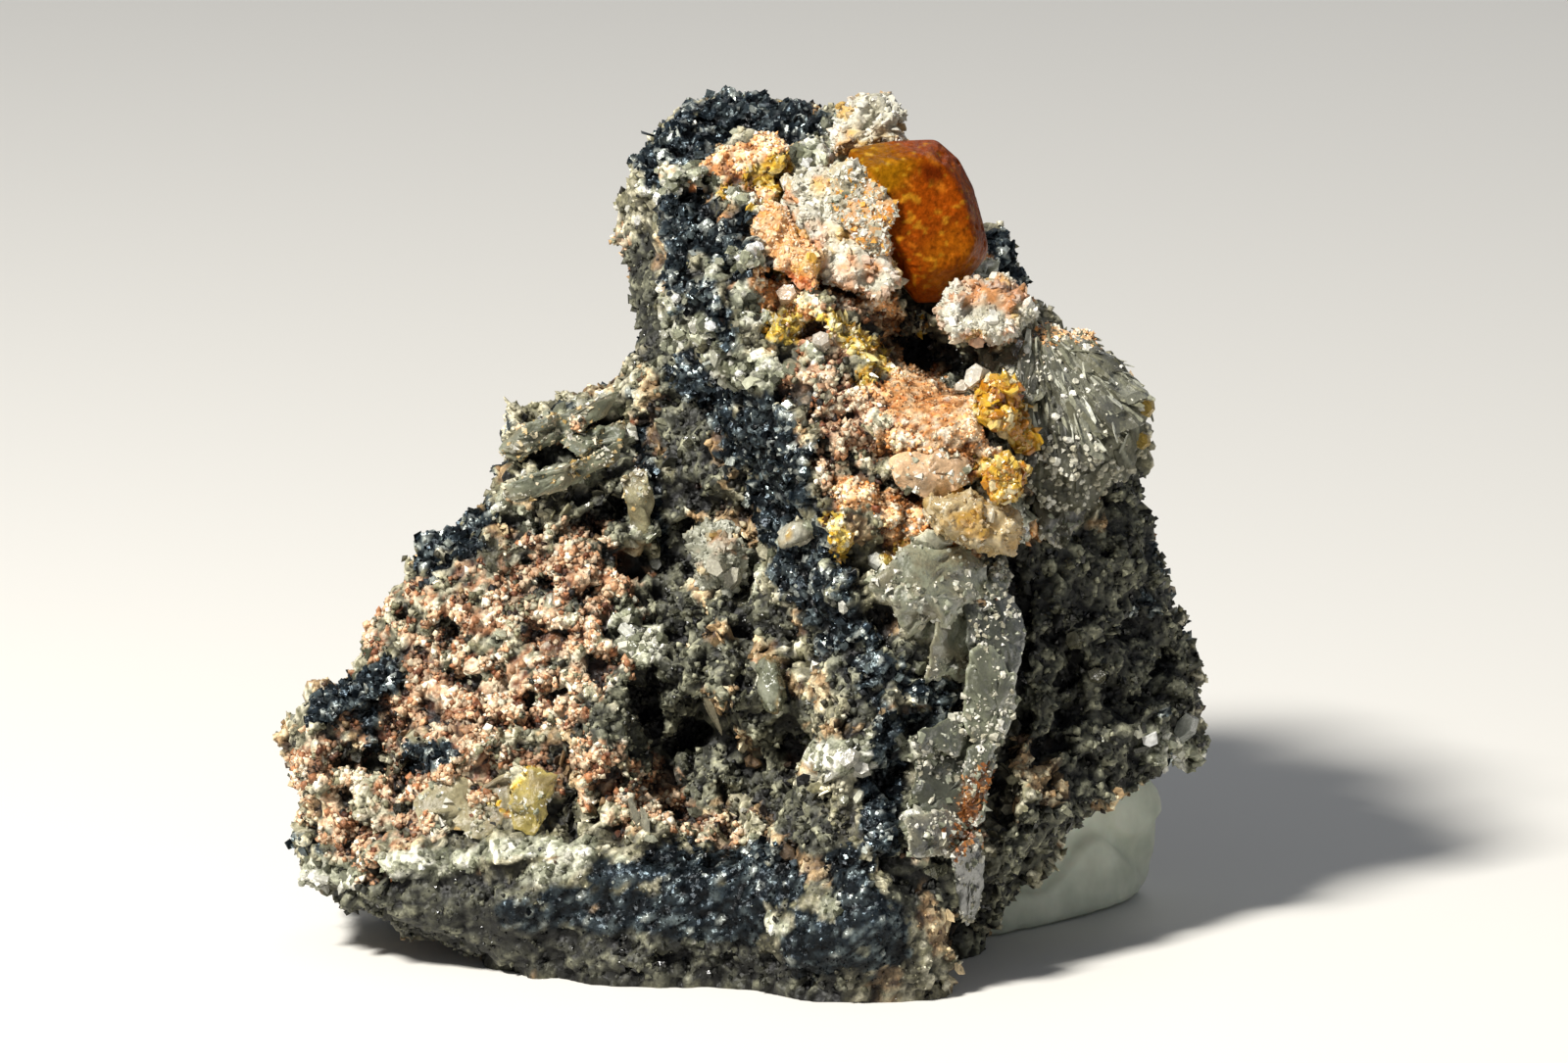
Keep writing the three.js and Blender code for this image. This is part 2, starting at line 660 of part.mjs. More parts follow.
const patches = [
  { at: [-3.4, 41.4], spread: [1.6, 0.6], count: 3, sides: 6 },
  { at: [0, 37.8], spread: [1.8, 0.9], count: 2, sides: 6 },
  { at: [-2, 33.9], spread: [1, 2.4], count: 2, sides: 4 },
  { at: [10, 20.8], spread: [2.8, 1.8], count: 6, sides: 6 },
  { at: [9.4, 11.2], spread: [2, 2.6], count: 6, sides: 6 },
  { at: [-12, 8.2], spread: [5.4, 0.5], count: 3, sides: 4 },
  { at: [-8.6, 28], spread: [2.4, 1.6], count: 2, sides: 4 },
  { at: [18.8, 17], spread: [2.8, 5.4], count: 5, sides: 4 },
];
const grain = { radius: [0.6, 1.1], length: [1.2, 2.4], lean: 0.9, seed: 11 };

function seededRandom(seed) {
  let state = seed;
  return () => {
    state = (state * 16807) % 2147483647;
    return state / 2147483647;
  };
}

// A prism along +Y with one pyramid end, its middle at the origin.
function smallCrystal(radius, length, sides) {
  const { position } = new THREE.CylinderGeometry(radius, radius, length, sides, 1).attributes;
  const corner = (_, i) => new THREE.Vector3().fromBufferAttribute(position, i);
  const places = Array.from({ length: position.count }, corner);
  places.push(new THREE.Vector3(0, length / 2 + radius * 0.8, 0));
  return new ConvexGeometry(places);
}

// The way out of a field's surface at a place.
function wayOut(field, [x, depth, height]) {
  const h = 0.4;
  return new THREE.Vector3(
    field(x + h, depth, height) - field(x - h, depth, height),
    field(x, depth + h, height) - field(x, depth - h, height),
    field(x, depth, height + h) - field(x, depth, height - h),
  ).normalize();
}

function smallCrystals() {
  const random = seededRandom(grain.seed);
  const between = ([low, high]) => THREE.MathUtils.lerp(low, high, random());
  const solids = [];
  for (const { at, spread, count, sides } of patches)
    for (let n = 0; n < count; n++) {
      const spot = at.map((value, axis) => value + between([-spread[axis], spread[axis]]));
      const lean = new THREE.Vector3(random() - 0.5, random() - 0.5, random() - 0.3);
      const crystal = smallCrystal(between(grain.radius), between(grain.length), sides);
      const depth = frontOf(rockField, spot);
      if (depth === null) continue;
      const seat = [spot[0], depth, spot[1]];
      const out = wayOut(slabsField, seat).addScaledVector(lean, grain.lean).normalize();
      crystal.applyQuaternion(new THREE.Quaternion().setFromUnitVectors(new THREE.Vector3(0, 1, 0), out));
      crystal.translate(...seat);
      solids.push(solidOf(crystal));
    }
  return solids;
}

// ---- Assembly ----

let rock = largestOf(solidOf(surfaceOf(rockField, [-28, FRONT, -11], [28, 22, 52], ROCK_CELL)));
for (const crystal of smallCrystals()) rock = rock.add(crystal);

const puttyLump = (grow) =>
  solidOf(surfaceOf((...at) => puttyField(...at) - grow, [3, -7, -5], [28, 21, 20], PUTTY_CELL));

const solids = {};
let taken = null;
for (const [name, crystal] of Object.entries(crystals)) {
  const places = placesOf(crystal);
  const whole = crystalOf(places);
  solids[name] = taken ? largestOf(whole.subtract(taken)) : whole;
  const socket = crystalOf(places, GAP);
  taken = taken ? taken.add(socket) : socket;
}
solids.putty_wad = puttyLump(0);
solids.matrix = rock.subtract(taken).subtract(puttyLump(GAP * 1.3));

const looks = {
  ...crystals,
  matrix: { color: 0x8b7d6b, roughness: 0.9 },
  putty_wad: { color: 0xc9cfc2, roughness: 0.7 },
};

// The flat cut that the specimen rests on.
const tipped = new THREE.Matrix4().makeRotationX(-LEAN);
const earth = new THREE.BoxGeometry(120, 120, 40).translate(0, 0, GROUND - 20);
const belowGround = solidOf(earth.applyMatrix4(tipped.clone().invert()));

const specimen = new THREE.Group();
for (const [name, solid] of Object.entries(solids)) {
  const { vertProperties, triVerts } = largestOf(solid.subtract(belowGround)).getMesh();
  const geometry = new THREE.BufferGeometry();
  geometry.setAttribute('position', new THREE.BufferAttribute(vertProperties, 3));
  geometry.setIndex(new THREE.BufferAttribute(triVerts, 1));
  geometry.applyMatrix4(tipped);
  const { color, roughness } = looks[name];
  const mesh = new THREE.Mesh(geometry, new THREE.MeshStandardMaterial({ color, roughness, metalness: 0 }));
  mesh.name = name;
  specimen.add(mesh);
}

// The origin goes on the ground, under the middle of the specimen's box.
const box = new THREE.Box3().setFromObject(specimen);
const middle = box.getCenter(new THREE.Vector3());
for (const mesh of specimen.children) mesh.geometry.translate(-middle.x, -middle.y, -GROUND);

export default specimen;
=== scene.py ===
import bpy
import numpy as np
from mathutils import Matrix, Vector


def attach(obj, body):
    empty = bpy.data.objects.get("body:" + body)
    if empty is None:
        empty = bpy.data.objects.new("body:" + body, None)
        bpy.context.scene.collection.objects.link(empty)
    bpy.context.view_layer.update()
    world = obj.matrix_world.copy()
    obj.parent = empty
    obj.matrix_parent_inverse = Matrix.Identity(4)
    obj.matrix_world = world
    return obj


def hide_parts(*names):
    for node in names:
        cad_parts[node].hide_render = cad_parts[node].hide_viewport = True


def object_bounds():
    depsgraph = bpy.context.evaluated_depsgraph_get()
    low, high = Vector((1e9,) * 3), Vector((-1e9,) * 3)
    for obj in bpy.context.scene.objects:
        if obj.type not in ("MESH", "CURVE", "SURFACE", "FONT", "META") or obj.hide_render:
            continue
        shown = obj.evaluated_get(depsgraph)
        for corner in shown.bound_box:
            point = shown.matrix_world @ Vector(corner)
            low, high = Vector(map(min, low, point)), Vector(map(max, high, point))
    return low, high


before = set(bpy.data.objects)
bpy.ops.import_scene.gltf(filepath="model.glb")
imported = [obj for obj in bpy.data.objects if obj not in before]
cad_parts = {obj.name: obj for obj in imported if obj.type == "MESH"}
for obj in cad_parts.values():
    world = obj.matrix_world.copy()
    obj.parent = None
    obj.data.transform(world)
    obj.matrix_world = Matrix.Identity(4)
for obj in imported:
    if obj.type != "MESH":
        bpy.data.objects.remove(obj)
cad_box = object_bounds()


# The host rock: one grown mass of ore and sugary crystals, cut flat below so that it stands.
# It is galena, salmon and grey-green crumb, quartz and yellow crust, all grown through each other,
# so its skin carries each mineral's colour, shine and relief where that mineral shows.

MM = 0.001
# The front leans back by this much, and the shift, in mm, takes the scene's origin to the front's own.
LEAN = np.radians(12.0)
SHIFT = np.array([-0.088, 5.173, 2.7])
# The cells, in mm, that the rock's skin is made of: coarse for its lumps, then fine for its grain.
ROUGH_CELL, ROCK_CELL = 0.5, 0.32
# In mm across: the rock's lumps, the stones in them, and the clods and grains of its crumb.
LUMP, STONE, CLOD, GRAIN = 2.6, 1.4, 0.8, 0.45
# In metres above the floor: what is lower belongs to the flat foot, of the rough rock and the putty, then
# of the fine rock, and no crystal of the rock's crust is rooted lower than the last.
FOOT, FINE_FOOT, BARE_FOOT = 0.0004, 0.0003, 0.0006

# Where each mineral shows on the front. A row is one patch: the two ends of a short line, each across and
# up in mm on the leaning front, and how far about the line the patch reaches.
SMOKY = [
    (15, 23.1, 19.5, 20.1, 2.5), (15, 19.1, 21.5, 23.1, 2.5), (16, 16.1, 21, 16.1, 3),
    (18, 12.1, 21, 12.1, 2), (14.5, 8.1, 16.5, 9.1, 1.5), (19.5, 26.1, 20.5, 23.1, 1.3),
    (13, 6.1, 12, 3.1, 1.3), (-5, 21.1, -3, 18.1, 1.7), (-5, 16.1, -2, 12.1, 2),
    (-1, 17.1, 2, 14.1, 1.7), (-6, 27.6, -3, 23.1, 1.3), (-14, 3.1, -6, 1.6, 1.2),
    (-5, 1.85, 2, 0.85, 1.1), (-10, 4.1, -8, 3.85, 0.7), (-7, 23.1, -5.5, 21.1, 1),
    (-10, 21.1, -8, 20.5, 0.7), (-12, 14.6, -10, 14.35, 0.5), (-8.5, 14.6, -5, 13.1, 1.1),
    (-10, 28.1, -6, 27.1, 0.7), (-8, 25.1, -6, 24.1, 0.8), (-3.5, 30.1, -2.25, 26.1, 1.3),
    (-1, 20.1, 2, 19.1, 1), (1, 11.6, 3.5, 8.6, 1.1), (14, 36.1, 14.6, 37.6, 0.6),
    (-6, 38.6, -5.25, 34.6, 1), (-5, 34.6, -3.5, 31.1, 0.7), (-18, 5.85, -14.5, 4.85, 0.7),
    (8.5, 33.6, 11.5, 32.5, 1.2), (5, 36.1, 7, 34.1, 0.6), (19, 20.1, 22, 13.1, 1.7),
    (9.5, 7.1, 12, 4.6, 1.1), (4, 20.6, 6.6, 16.6, 1.5), (-18, 5, -5, 2.4, 2.5), (7, 18.6, 8.5, 17.6, 0.7),
    (7.4, 13.5, 8, 5.5, 0.9), (-16, 3.4, 4, 1.2, 1.4), (3.4, 21.6, 6, 16.6, 1.8),
]

GALENA = [
    (-5, 39.5, -2, 40.5, 1.2), (-3.5, 38.35, 0, 39.35, 1), (0, 40.35, 2, 39.35, 0.35),
    (-4.4, 37.85, -3.5, 36.85, 0.9), (-0.75, 36.8, 0.6, 37.2, 0.35), (2, 38.35, 3.1, 36.6, 0.3),
    (-2, 36.1, -0.9, 33.85, 0.8), (-3.5, 32.6, -2.6, 31.85, 1), (-2.75, 31.35, 0, 30.85, 0.7),
    (-0.75, 30.1, 1.5, 29.1, 1.3), (-0.25, 28.1, 2.25, 27.6, 1.3), (0.75, 26.1, 2.25, 25.6, 1.2),
    (1.5, 24.35, 3.5, 23.1, 1), (2.25, 22.1, 4.5, 21.1, 1.1), (4.5, 18.35, 7.25, 17.1, 0.9),
    (8, 16.6, 10.75, 15.35, 0.8), (7.25, 14.1, 10, 14.35, 0.7), (6.25, 11.1, 7, 8.6, 0.8),
    (-3, 6.6, 1.5, 6.6, 1.6), (-7, 6.6, -3, 7.1, 0.9), (-6, 4.85, 0, 4.1, 1.2),
    (-10, 5.35, -6, 5.1, 0.6), (3.5, 3.1, 7, 3.6, 1.6), (5, 7.1, 6.5, 4.6, 1.2),
    (-21.5, 14.85, -18.25, 16.6, 1), (-19.25, 15.1, -19.1, 13.35, 0.6),
    (-16.75, 12.35, -15, 12.85, 0.7), (-16.75, 23.1, -14, 25.1, 1.1), (-13.5, 23.35, -14.5, 23.1, 0.6),
    (-10.6, 30.85, -9.25, 31.1, 0.65), (-14, 26.1, -14, 26.1, 0.5), (-5.25, 29.1, -4, 22.1, 0.35),
    (14.25, 29.1, 14.75, 26.6, 0.7), (21.25, 20.1, 22.75, 17.1, 1.1), (21.5, 23.1, 22, 21.1, 0.8),
    (22, 15.1, 23.25, 14.6, 0.7), (13, 39.1, 14.25, 36.85, 0.6), (-23, 8.1, -22, 7.85, 0.5),
    (-3, 35.1, -2.25, 36.1, 0.6), (-1.5, 38.6, -0.9, 38, 0.4), (4, 23.1, 4.3, 22.8, 0.4),
    (6, 16.1, 7, 15.1, 0.5), (-8, 31.1, -6, 31.2, 0.4), (-14.5, 23.1, -16, 21.85, 0.45),
    (3.2, 20.8, 5.6, 18.7, 1.1), (5, 18.2, 6.8, 16.8, 0.9), (7.3, 14.6, 7.4, 8.4, 0.7),
    (-12, 4.6, -7, 4.3, 0.7),
]

# The knob at the top stands behind the front, so it has galena patches of its own.
KNOB_GALENA = [
    (-3, 45.6, 2, 45.35, 2), (-3.5, 43.6, -1, 43.6, 1.4), (-5.5, 43.6, -3.5, 41.6, 0.9),
    (13, 39.1, 14.25, 36.85, 0.7), (3, 45.1, 4.5, 45.1, 0.7),
]

SALMON = [
    (-10, 19.1, -17, 13.1, 4.75), (-8, 21.1, -10, 16.6, 3), (-14, 18.6, -18, 19.1, 2.5),
    (-21.5, 11.1, -19, 8.6, 2.4), (-8, 11.6, -5, 10.6, 1.9), (-10, 23.1, -7, 23.1, 1.5),
    (3, 31.35, 5.5, 31.1, 1.2), (5, 29.6, 6.6, 28.6, 1.3), (4.5, 27.1, 7, 26.6, 1.3),
    (-10, 29.1, -8, 29.85, 0.7), (-6, 29.6, -5.25, 27.6, 0.5), (-2.25, 26.35, -2.25, 26.35, 0.45),
    (-0.25, 18.35, 0.25, 17.6, 0.6), (11, 11.1, 11.75, 8.6, 0.6), (8.5, 7.6, 11.5, 8.1, 0.4),
    (-7.5, 40.35, -6.5, 39.1, 0.8), (-4.5, 9.6, 0, 8.6, 0.8), (4.2, 35.8, 7.2, 35.4, 0.8),
    (0.2, 40.2, 2.2, 40.6, 0.5), (14.6, 26.5, 17.8, 26.6, 0.5), (-11, 29.6, -8.5, 28.6, 0.7),
    (6.5, 30.4, 8.6, 27.9, 1.2), (8, 26.4, 11, 26, 0.8), (7, 26.6, 9, 27.4, 0.8),
    (-1.6, 37.8, 2.4, 36.8, 0.7), (0.8, 35.8, 4.4, 33.4, 1.1), (-4.2, 42.2, -2, 41.4, 0.7),
]

APRICOT = [
    (-2, 42.1, 1.5, 43.6, 1.1), (0, 41.6, 2, 42, 0.9), (1.75, 39.35, 3.5, 37.85, 1.1),
    (4.2, 37, 6, 36.2, 0.8), (7, 36.1, 7.5, 34.6, 0.8), (0, 36.2, 3, 34.8, 0.8), (8.6, 30.4, 11.8, 29.4, 1.9),
    (12.5, 38.1, 14, 37.1, 0.8), (11.25, 36.1, 14.25, 35.6, 0.8), (7.75, 24.1, 9.5, 23.85, 0.9),
    (10, 23.1, 11.25, 23.1, 0.6), (13, 23.6, 15, 24.1, 0.5), (7.2, 33, 8.4, 31.8, 0.7),
    (6.8, 28.4, 8.4, 27.6, 0.9), (5, 26.1, 8.5, 25.1, 0.7), (-1, 39.9, 0.6, 39.4, 0.35),
    (9, 29.3, 11.8, 28.9, 1.7), (8.8, 31, 11, 30.6, 1.5), (7.6, 24.2, 10.8, 22.8, 0.8),
    (8.6, 27.5, 11.6, 27.3, 0.8), (-2.6, 41.8, 2, 40.6, 0.7), (0.4, 37.4, 2.4, 36.2, 0.5),
]

YELLOW = [
    (-12, 10.2, -10.6, 11.4, 0.7),
    (0.8, 42.2, 1.8, 42.8, 0.7), (1, 40.6, 1.8, 40.9, 0.5), (-1, 41.35, -1, 41.35, 0.35),
    (4.4, 34.6, 6.9, 32.9, 0.6), (6, 32, 7, 32.3, 0.5), (12.5, 31.6, 13.5, 30.6, 0.6),
    (12.5, 30.1, 13.5, 29.1, 0.8), (12.5, 27.1, 14, 26.35, 0.8), (6.25, 40.85, 7.25, 40.6, 0.4),
    (8, 40, 8, 40, 0.4), (-2.5, 46.8, 2, 46.8, 0.6), (1.6, 34.2, 2.6, 33.9, 0.45),
    (-11.2, 11.1, -10.4, 10.5, 0.45), (4.2, 24.6, 5, 23.2, 0.6), (8.2, 38.4, 8, 39.6, 0.35),
    (9, 34.35, 9, 34.35, 0.35), (21.25, 30.1, 21.25, 28.6, 0.25), (7.25, 22.6, 8, 23.1, 0.4),
    (2, 37.6, 2, 37.6, 0.4), (1.8, 35.2, 2.6, 34.4, 0.5), (1.2, 41.8, 2, 41.2, 0.4),
]

QUARTZ = [
    (-4.4, 41.6, -3.5, 41.35, 0.8), (-3, 42.35, 0, 40.85, 0.5), (-1.5, 37.6, 1.5, 38.35, 0.9),
    (-3.5, 34.6, -3, 36.1, 1.1), (-1.25, 32.35, 1, 31.85, 0.9), (0, 36.1, 0.5, 35.1, 0.6),
    (5.5, 44.6, 7.25, 45.6, 1.3), (3.5, 41.6, 5.5, 41.1, 1.5), (5.5, 39.1, 7.5, 38.6, 1),
    (3, 43.1, 5, 42.6, 0.7), (3.75, 33.1, 3.75, 33.1, 0.65), (11.5, 36.85, 14, 37.6, 0.7),
    (10.75, 31.85, 11.25, 32.35, 0.5), (11.6, 25.4, 13.5, 24.1, 1.1),
    (7.6, 21.6, 10, 21.1, 1.3), (8.5, 20.1, 10.5, 19.1, 1.1), (12.25, 16.1, 13.5, 15.1, 0.9),
    (8.5, 13.1, 11, 12.6, 0.9), (8.5, 9.6, 10, 8.6, 1), (4, 12.6, 6, 12.6, 1.1),
    (-18, 7.1, -14, 7.35, 0.6), (-13, 7.85, -8, 8.1, 0.5), (-12, 26.1, -8, 27.1, 0.5),
    (-8, 28.1, -6, 29.1, 0.5), (-10, 29.85, -7, 30.6, 0.45), (-5.25, 26.1, -5.25, 24.1, 0.7),
    (-2, 23.6, -0.5, 22.1, 1.1), (2, 23.85, 3.5, 24.1, 0.6), (-6, 19.35, -5, 18.1, 0.9),
    (1.25, 16.6, 1.75, 15.1, 0.5), (9, 16.6, 9.5, 16.1, 0.6), (-3.25, 4.6, -2.5, 3.1, 0.5),
    (-22, 6.6, -20.5, 6.6, 0.7), (21, 13.1, 22.75, 12.1, 0.9), (4.5, 5.1, 4.5, 5.1, 0.7),
    (-12.5, 25.1, -11.5, 24.6, 0.5), (-12.75, 18.35, -12.75, 18.35, 0.55), (2.6, 46.2, 3.4, 44.4, 0.7),
    (-3.8, 7.6, -2.6, 3.2, 0.35), (-11, 6.4, -8, 7.4, 0.5), (1, 4.2, 4, 3.4, 0.4), (-1, 5.6, 1, 4.6, 0.4),
    (-5, 41.8, -4, 41.2, 0.6), (-1.4, 38.2, 1.8, 37.6, 0.5), (-3.6, 36.8, -0.8, 33.2, 0.8),
]

BROWN = [
    (-3, 19.1, 0, 16.1, 2.5), (1.6, 15.6, 2.6, 13.1, 1.5), (7, 34.1, 12, 32.6, 1.3),
    (-13, 3.6, -6, 1.85, 1.3), (-3, 1.1, 4.5, 0.85, 0.8), (-18, 5.1, -14, 4.1, 0.8),
    (9.5, 6.1, 11, 3.6, 1.5), (2, 8.1, 4, 7.1, 1), (-3.5, 29.6, -2, 27.1, 1.7),
    (14.5, 26.4, 18, 26.4, 0.6), (15, 22, 17.5, 19, 0.8), (17, 15, 19, 13, 0.9), (-20, 7.2, -14, 6.2, 0.8),
    (15, 13, 18.5, 9.5, 1.5), (14.4, 17.5, 15.4, 15.5, 0.7), (19.5, 17.5, 20.5, 15.5, 0.6),
]

# Where the skin is pressed in, and after that where it stands out in bosses: a line and a reach as above,
# then how deep in mm, which is less than 0 for a boss.
HOLLOWS = [
    (-8, 24.35, -6, 25.35, 0.7, 2), (-3, 25.85, -1.75, 25.1, 0.5, 1.4),
    (-5.5, 14.6, -4.75, 16.1, 0.75, 2.6), (-4.9, 16.6, -4.7, 13.85, 0.6, 2.6),
    (-3.5, 13.1, -4.4, 11.1, 0.6, 1.8), (-3, 14, -1.9, 13.1, 0.5, 1.6),
    (-3.5, 18.35, -4.25, 17.5, 0.45, 1.5), (-9.6, 28.3, -8, 29.1, 0.35, 1.3),
    (-12, 24.6, -7.5, 26.1, 0.55, 1), (-10.6, 21.2, -11.5, 20.5, 0.6, 0.9),
    (-20.75, 12.7, -17, 12.2, 0.5, 1.5), (-15.7, 14.6, -14.4, 14, 0.5, 1.1),
    (-13, 14.35, -12.7, 14.2, 0.4, 0.7), (-9.1, 12.6, -8.9, 9, 0.35, 1.1),
    (-17.9, 10.5, -17.1, 8.8, 0.35, 0.9), (14.1, 22.6, 13.8, 14.1, 0.8, 2.2),
    (13.5, 14.1, 12.7, 9.6, 0.6, 1.8), (12.6, 8.6, 12.2, 4.6, 0.5, 1.4),
    (14.9, 21.1, 16, 19.1, 0.8, 1.1), (17, 11.6, 18.5, 11.1, 0.6, 0.9), (19.9, 20, 21, 19.1, 0.5, 0.9),
    (8, 33.6, 11, 31.85, 1, 2.6), (6.5, 35, 8.5, 34.1, 0.6, 1.3), (4.1, 36.6, 6, 35.1, 0.5, 1),
    (5.5, 27, 8.5, 25.7, 0.45, 1.1), (3.5, 29.1, 4.4, 28.5, 0.4, 1.1),
    (5.4, 29.1, 5.8, 28.8, 0.3, 0.9), (8.4, 14.35, 10.1, 13.8, 0.55, 1.1),
    (-3.5, 27.6, -3, 26.1, 0.7, 0.9), (-0.8, 21, -0.1, 19, 0.55, 1.3), (-1.9, 15.1, 0, 12, 0.75, 1.1),
    (2.6, 11.5, 3.9, 10.1, 0.5, 0.8), (16.25, 18.35, 17, 16.6, 0.6, 0.9),
    (19, 16.1, 19.5, 14.6, 0.5, 0.8), (-6, 10.6, -3.5, 9.6, 0.45, 1), (0, 11.1, 1.5, 9.6, 0.5, 0.9),
    (-7, 23.1, -5.5, 21.6, 0.5, 1), (-14.5, 16.6, -12, 17.1, 0.35, 0.6),
    (-10, 18.35, -8.5, 18.85, 0.4, 0.8), (-6, 21.1, -5.4, 20.5, 0.35, 0.8),
    (2, 31.35, 2.3, 31, 0.4, 0.9), (7.25, 25.1, 8.25, 25.5, 0.35, 0.9),
    (11.25, 25.85, 11.8, 25.1, 0.35, 0.9), (13, 34.6, 14, 35, 0.4, 1), (5, 30.6, 5.4, 30.1, 0.35, 0.8),
    (-5.25, 29.6, -4.6, 27.6, 0.35, 1), (-2, 19.1, -1.5, 18.6, 0.45, 0.9),
    (1, 19.1, 2, 18.6, 0.45, 0.8), (-3.5, 10.1, -2, 9.1, 0.45, 0.9),
    (-21.5, 14.1, -20.75, 13.1, 0.35, 0.7),
]

BOSSES = [
    (-11.5, 26.5, -6, 28.5, 0.4, -0.9), (-12.4, 28, -11, 27.6, 0.45, -0.6),
    (-12, 29.1, -8, 30.5, 0.45, -0.7), (-21, 15, -18.4, 16.6, 0.9, -0.5),
    (-16.5, 12.7, -14.9, 13.1, 0.55, -0.5), (-16.5, 8.6, -10, 11.1, 1.3, -0.35),
    (-18, 7.1, -8, 7.7, 0.45, -0.7), (-8, 8, -3.5, 8.8, 0.4, -0.5),
    (-2.8, 20.8, -1.8, 19.5, 0.9, -0.8), (-5.9, 19.3, -5.3, 18.4, 0.65, -0.6),
    (8.5, 30.2, 11.5, 29.5, 1.7, -1.2), (1.4, 43.5, 1.7, 43.1, 0.7, -0.7),
    (7.25, 20.85, 10, 21.5, 1.1, -0.8), (4.3, 12.6, 6.2, 12.7, 0.75, -0.8),
    (9.1, 13.3, 11.5, 12.1, 0.6, -0.7), (4.5, 20.6, 5.5, 19.1, 0.6, -0.5),
    (2, 27.35, 0.5, 29.1, 0.6, -0.5), (-1, 31.1, -3, 32.5, 0.6, -0.6),
    (-3, 39.1, -4.5, 40.35, 0.6, -0.6), (0, 38.35, -1.25, 38, 0.7, -0.5),
    (-13, 23.1, -10, 23.85, 0.45, -0.5), (-15.5, 20.1, -12, 19.1, 0.5, -0.4),
    (-10.75, 16.1, -8, 16.6, 0.45, -0.4), (-14.5, 12.6, -12, 13.1, 0.4, -0.4),
    (-21.5, 11.1, -23, 12.1, 0.7, -0.4), (16.5, 14.6, 18.5, 13.1, 0.7, -0.6),
    (19.5, 23.1, 21, 21.6, 0.7, -0.5), (18, 19.1, 19.5, 18.1, 0.5, -0.5),
    (21.5, 13.1, 23, 12.6, 0.6, -0.6), (15, 11.1, 16, 9.6, 0.5, -0.5), (5, 29.1, 6, 28.5, 0.45, -0.6),
    (3.75, 31.1, 4.5, 30.6, 0.5, -0.6), (7, 28.6, 8, 28, 0.45, -0.5),
    (9.25, 26.1, 11.25, 26.5, 0.5, -0.6), (10, 23.1, 11.25, 23.85, 0.5, -0.6),
    (0.5, 16.1, 1.5, 14.6, 0.4, -0.6), (-3, 16.1, -1.25, 15.85, 0.45, -0.6),
    (-3.5, 11.6, -1, 11.1, 0.45, -0.5), (-6, 12.6, -8, 13.1, 0.4, -0.4),
    (4, 24.1, 5.25, 23.1, 0.6, -0.5), (0, 18.1, 0.5, 17.35, 0.35, -0.7),
    (-5.25, 19.1, -3.5, 20.5, 0.45, -0.4), (-3.5, 6.1, -6, 7.1, 0.7, -0.4),
    (7, 4.6, 5, 3.1, 0.8, -0.4), (11.25, 21.1, 13, 19.1, 0.8, -0.5),
]

# Each mineral's tints, from its recesses to its tips, in the order in which they lie over each other. The
# darkest end is painted shade for the recesses and the palest end is partly painted highlight for the tips.
MINERAL_TINTS = {
    "host": ["#100f0a", "#28261b", "#46432f", "#636048", "#7e7a5e", "#98937a", "#b6b095", "#d8d2b8"],
    "brown": ["#120b06", "#33220f", "#58402a", "#7b603f", "#987c57", "#b3976f", "#cdb78f", "#e2d3ae"],
    "smoky": ["#070806", "#12130e", "#22231b", "#36372c", "#4f4f40", "#6d6d5a", "#98977e"],
    "salmon": ["#140c07", "#3a2011", "#7a4628", "#a8714a", "#c3946d", "#ceaa87", "#d3b898", "#d8c7a9",
               "#e8dec8"],
    "apricot": ["#a65420", "#d67e38", "#e69850", "#eeae70", "#f1c28e", "#f4d6ae", "#f7e8d0"],
    "quartz": ["#3f4130", "#5d5f47", "#7c7e66", "#999b83", "#b6b79f", "#d2d1bd", "#efede0"],
    "yellow": ["#8a5208", "#b87a12", "#d19a1c", "#dcb030", "#e2c456", "#ead792", "#f2e8c4"],
    "galena": ["#040506", "#080b0e", "#0f1519", "#182026", "#242e35", "#384349", "#626d6f", "#b2b8b1"],
}

# Where the skin is smooth and fine grained: low on the front, the quartz beside the curtain, and the
# orange mound.
CALM = [
    (-18, 7.1, -8, 7.9, 0.9), (-9, 6, 2, 5, 2.2), (2, 4.6, 7.5, 3.6, 2.6), (-16, 4.5, -8, 3.2, 1.8),
    (7.5, 21, 12, 20.5, 1.3), (9.5, 18.6, 12, 17, 1.1), (9.4, 13, 11.5, 9, 1.3), (5, 12.5, 6, 12.5, 1),
    (8.6, 30.4, 11.6, 29.6, 1.6),
]


def linear(code):
    """Turns an sRGB hex colour into linear light: a share below 0.04045 over 12.92, else a 2.4 power."""
    share = np.array([int(code[i:i + 2], 16) for i in (1, 3, 5)]) / 255
    return np.where(share <= 0.04045, share / 12.92, ((share + 0.055) / 1.055) ** 2.4)


def to_front(points):
    """Points in metres as across, deep and up in mm on the leaning front: the shift and the lean undone."""
    p = points / MM + SHIFT
    deep = p[:, 1] * np.cos(LEAN) - p[:, 2] * np.sin(LEAN)
    up = p[:, 1] * np.sin(LEAN) + p[:, 2] * np.cos(LEAN)
    return np.stack([p[:, 0], deep, up], 1)


def from_front(across, deep, up):
    """The way back from across, deep and up in mm on the leaning front to points in metres."""
    y = np.asarray(deep) * np.cos(LEAN) + np.asarray(up) * np.sin(LEAN)
    z = np.asarray(up) * np.cos(LEAN) - np.asarray(deep) * np.sin(LEAN)
    return (np.stack(np.broadcast_arrays(across, y, z), -1) - SHIFT) * MM


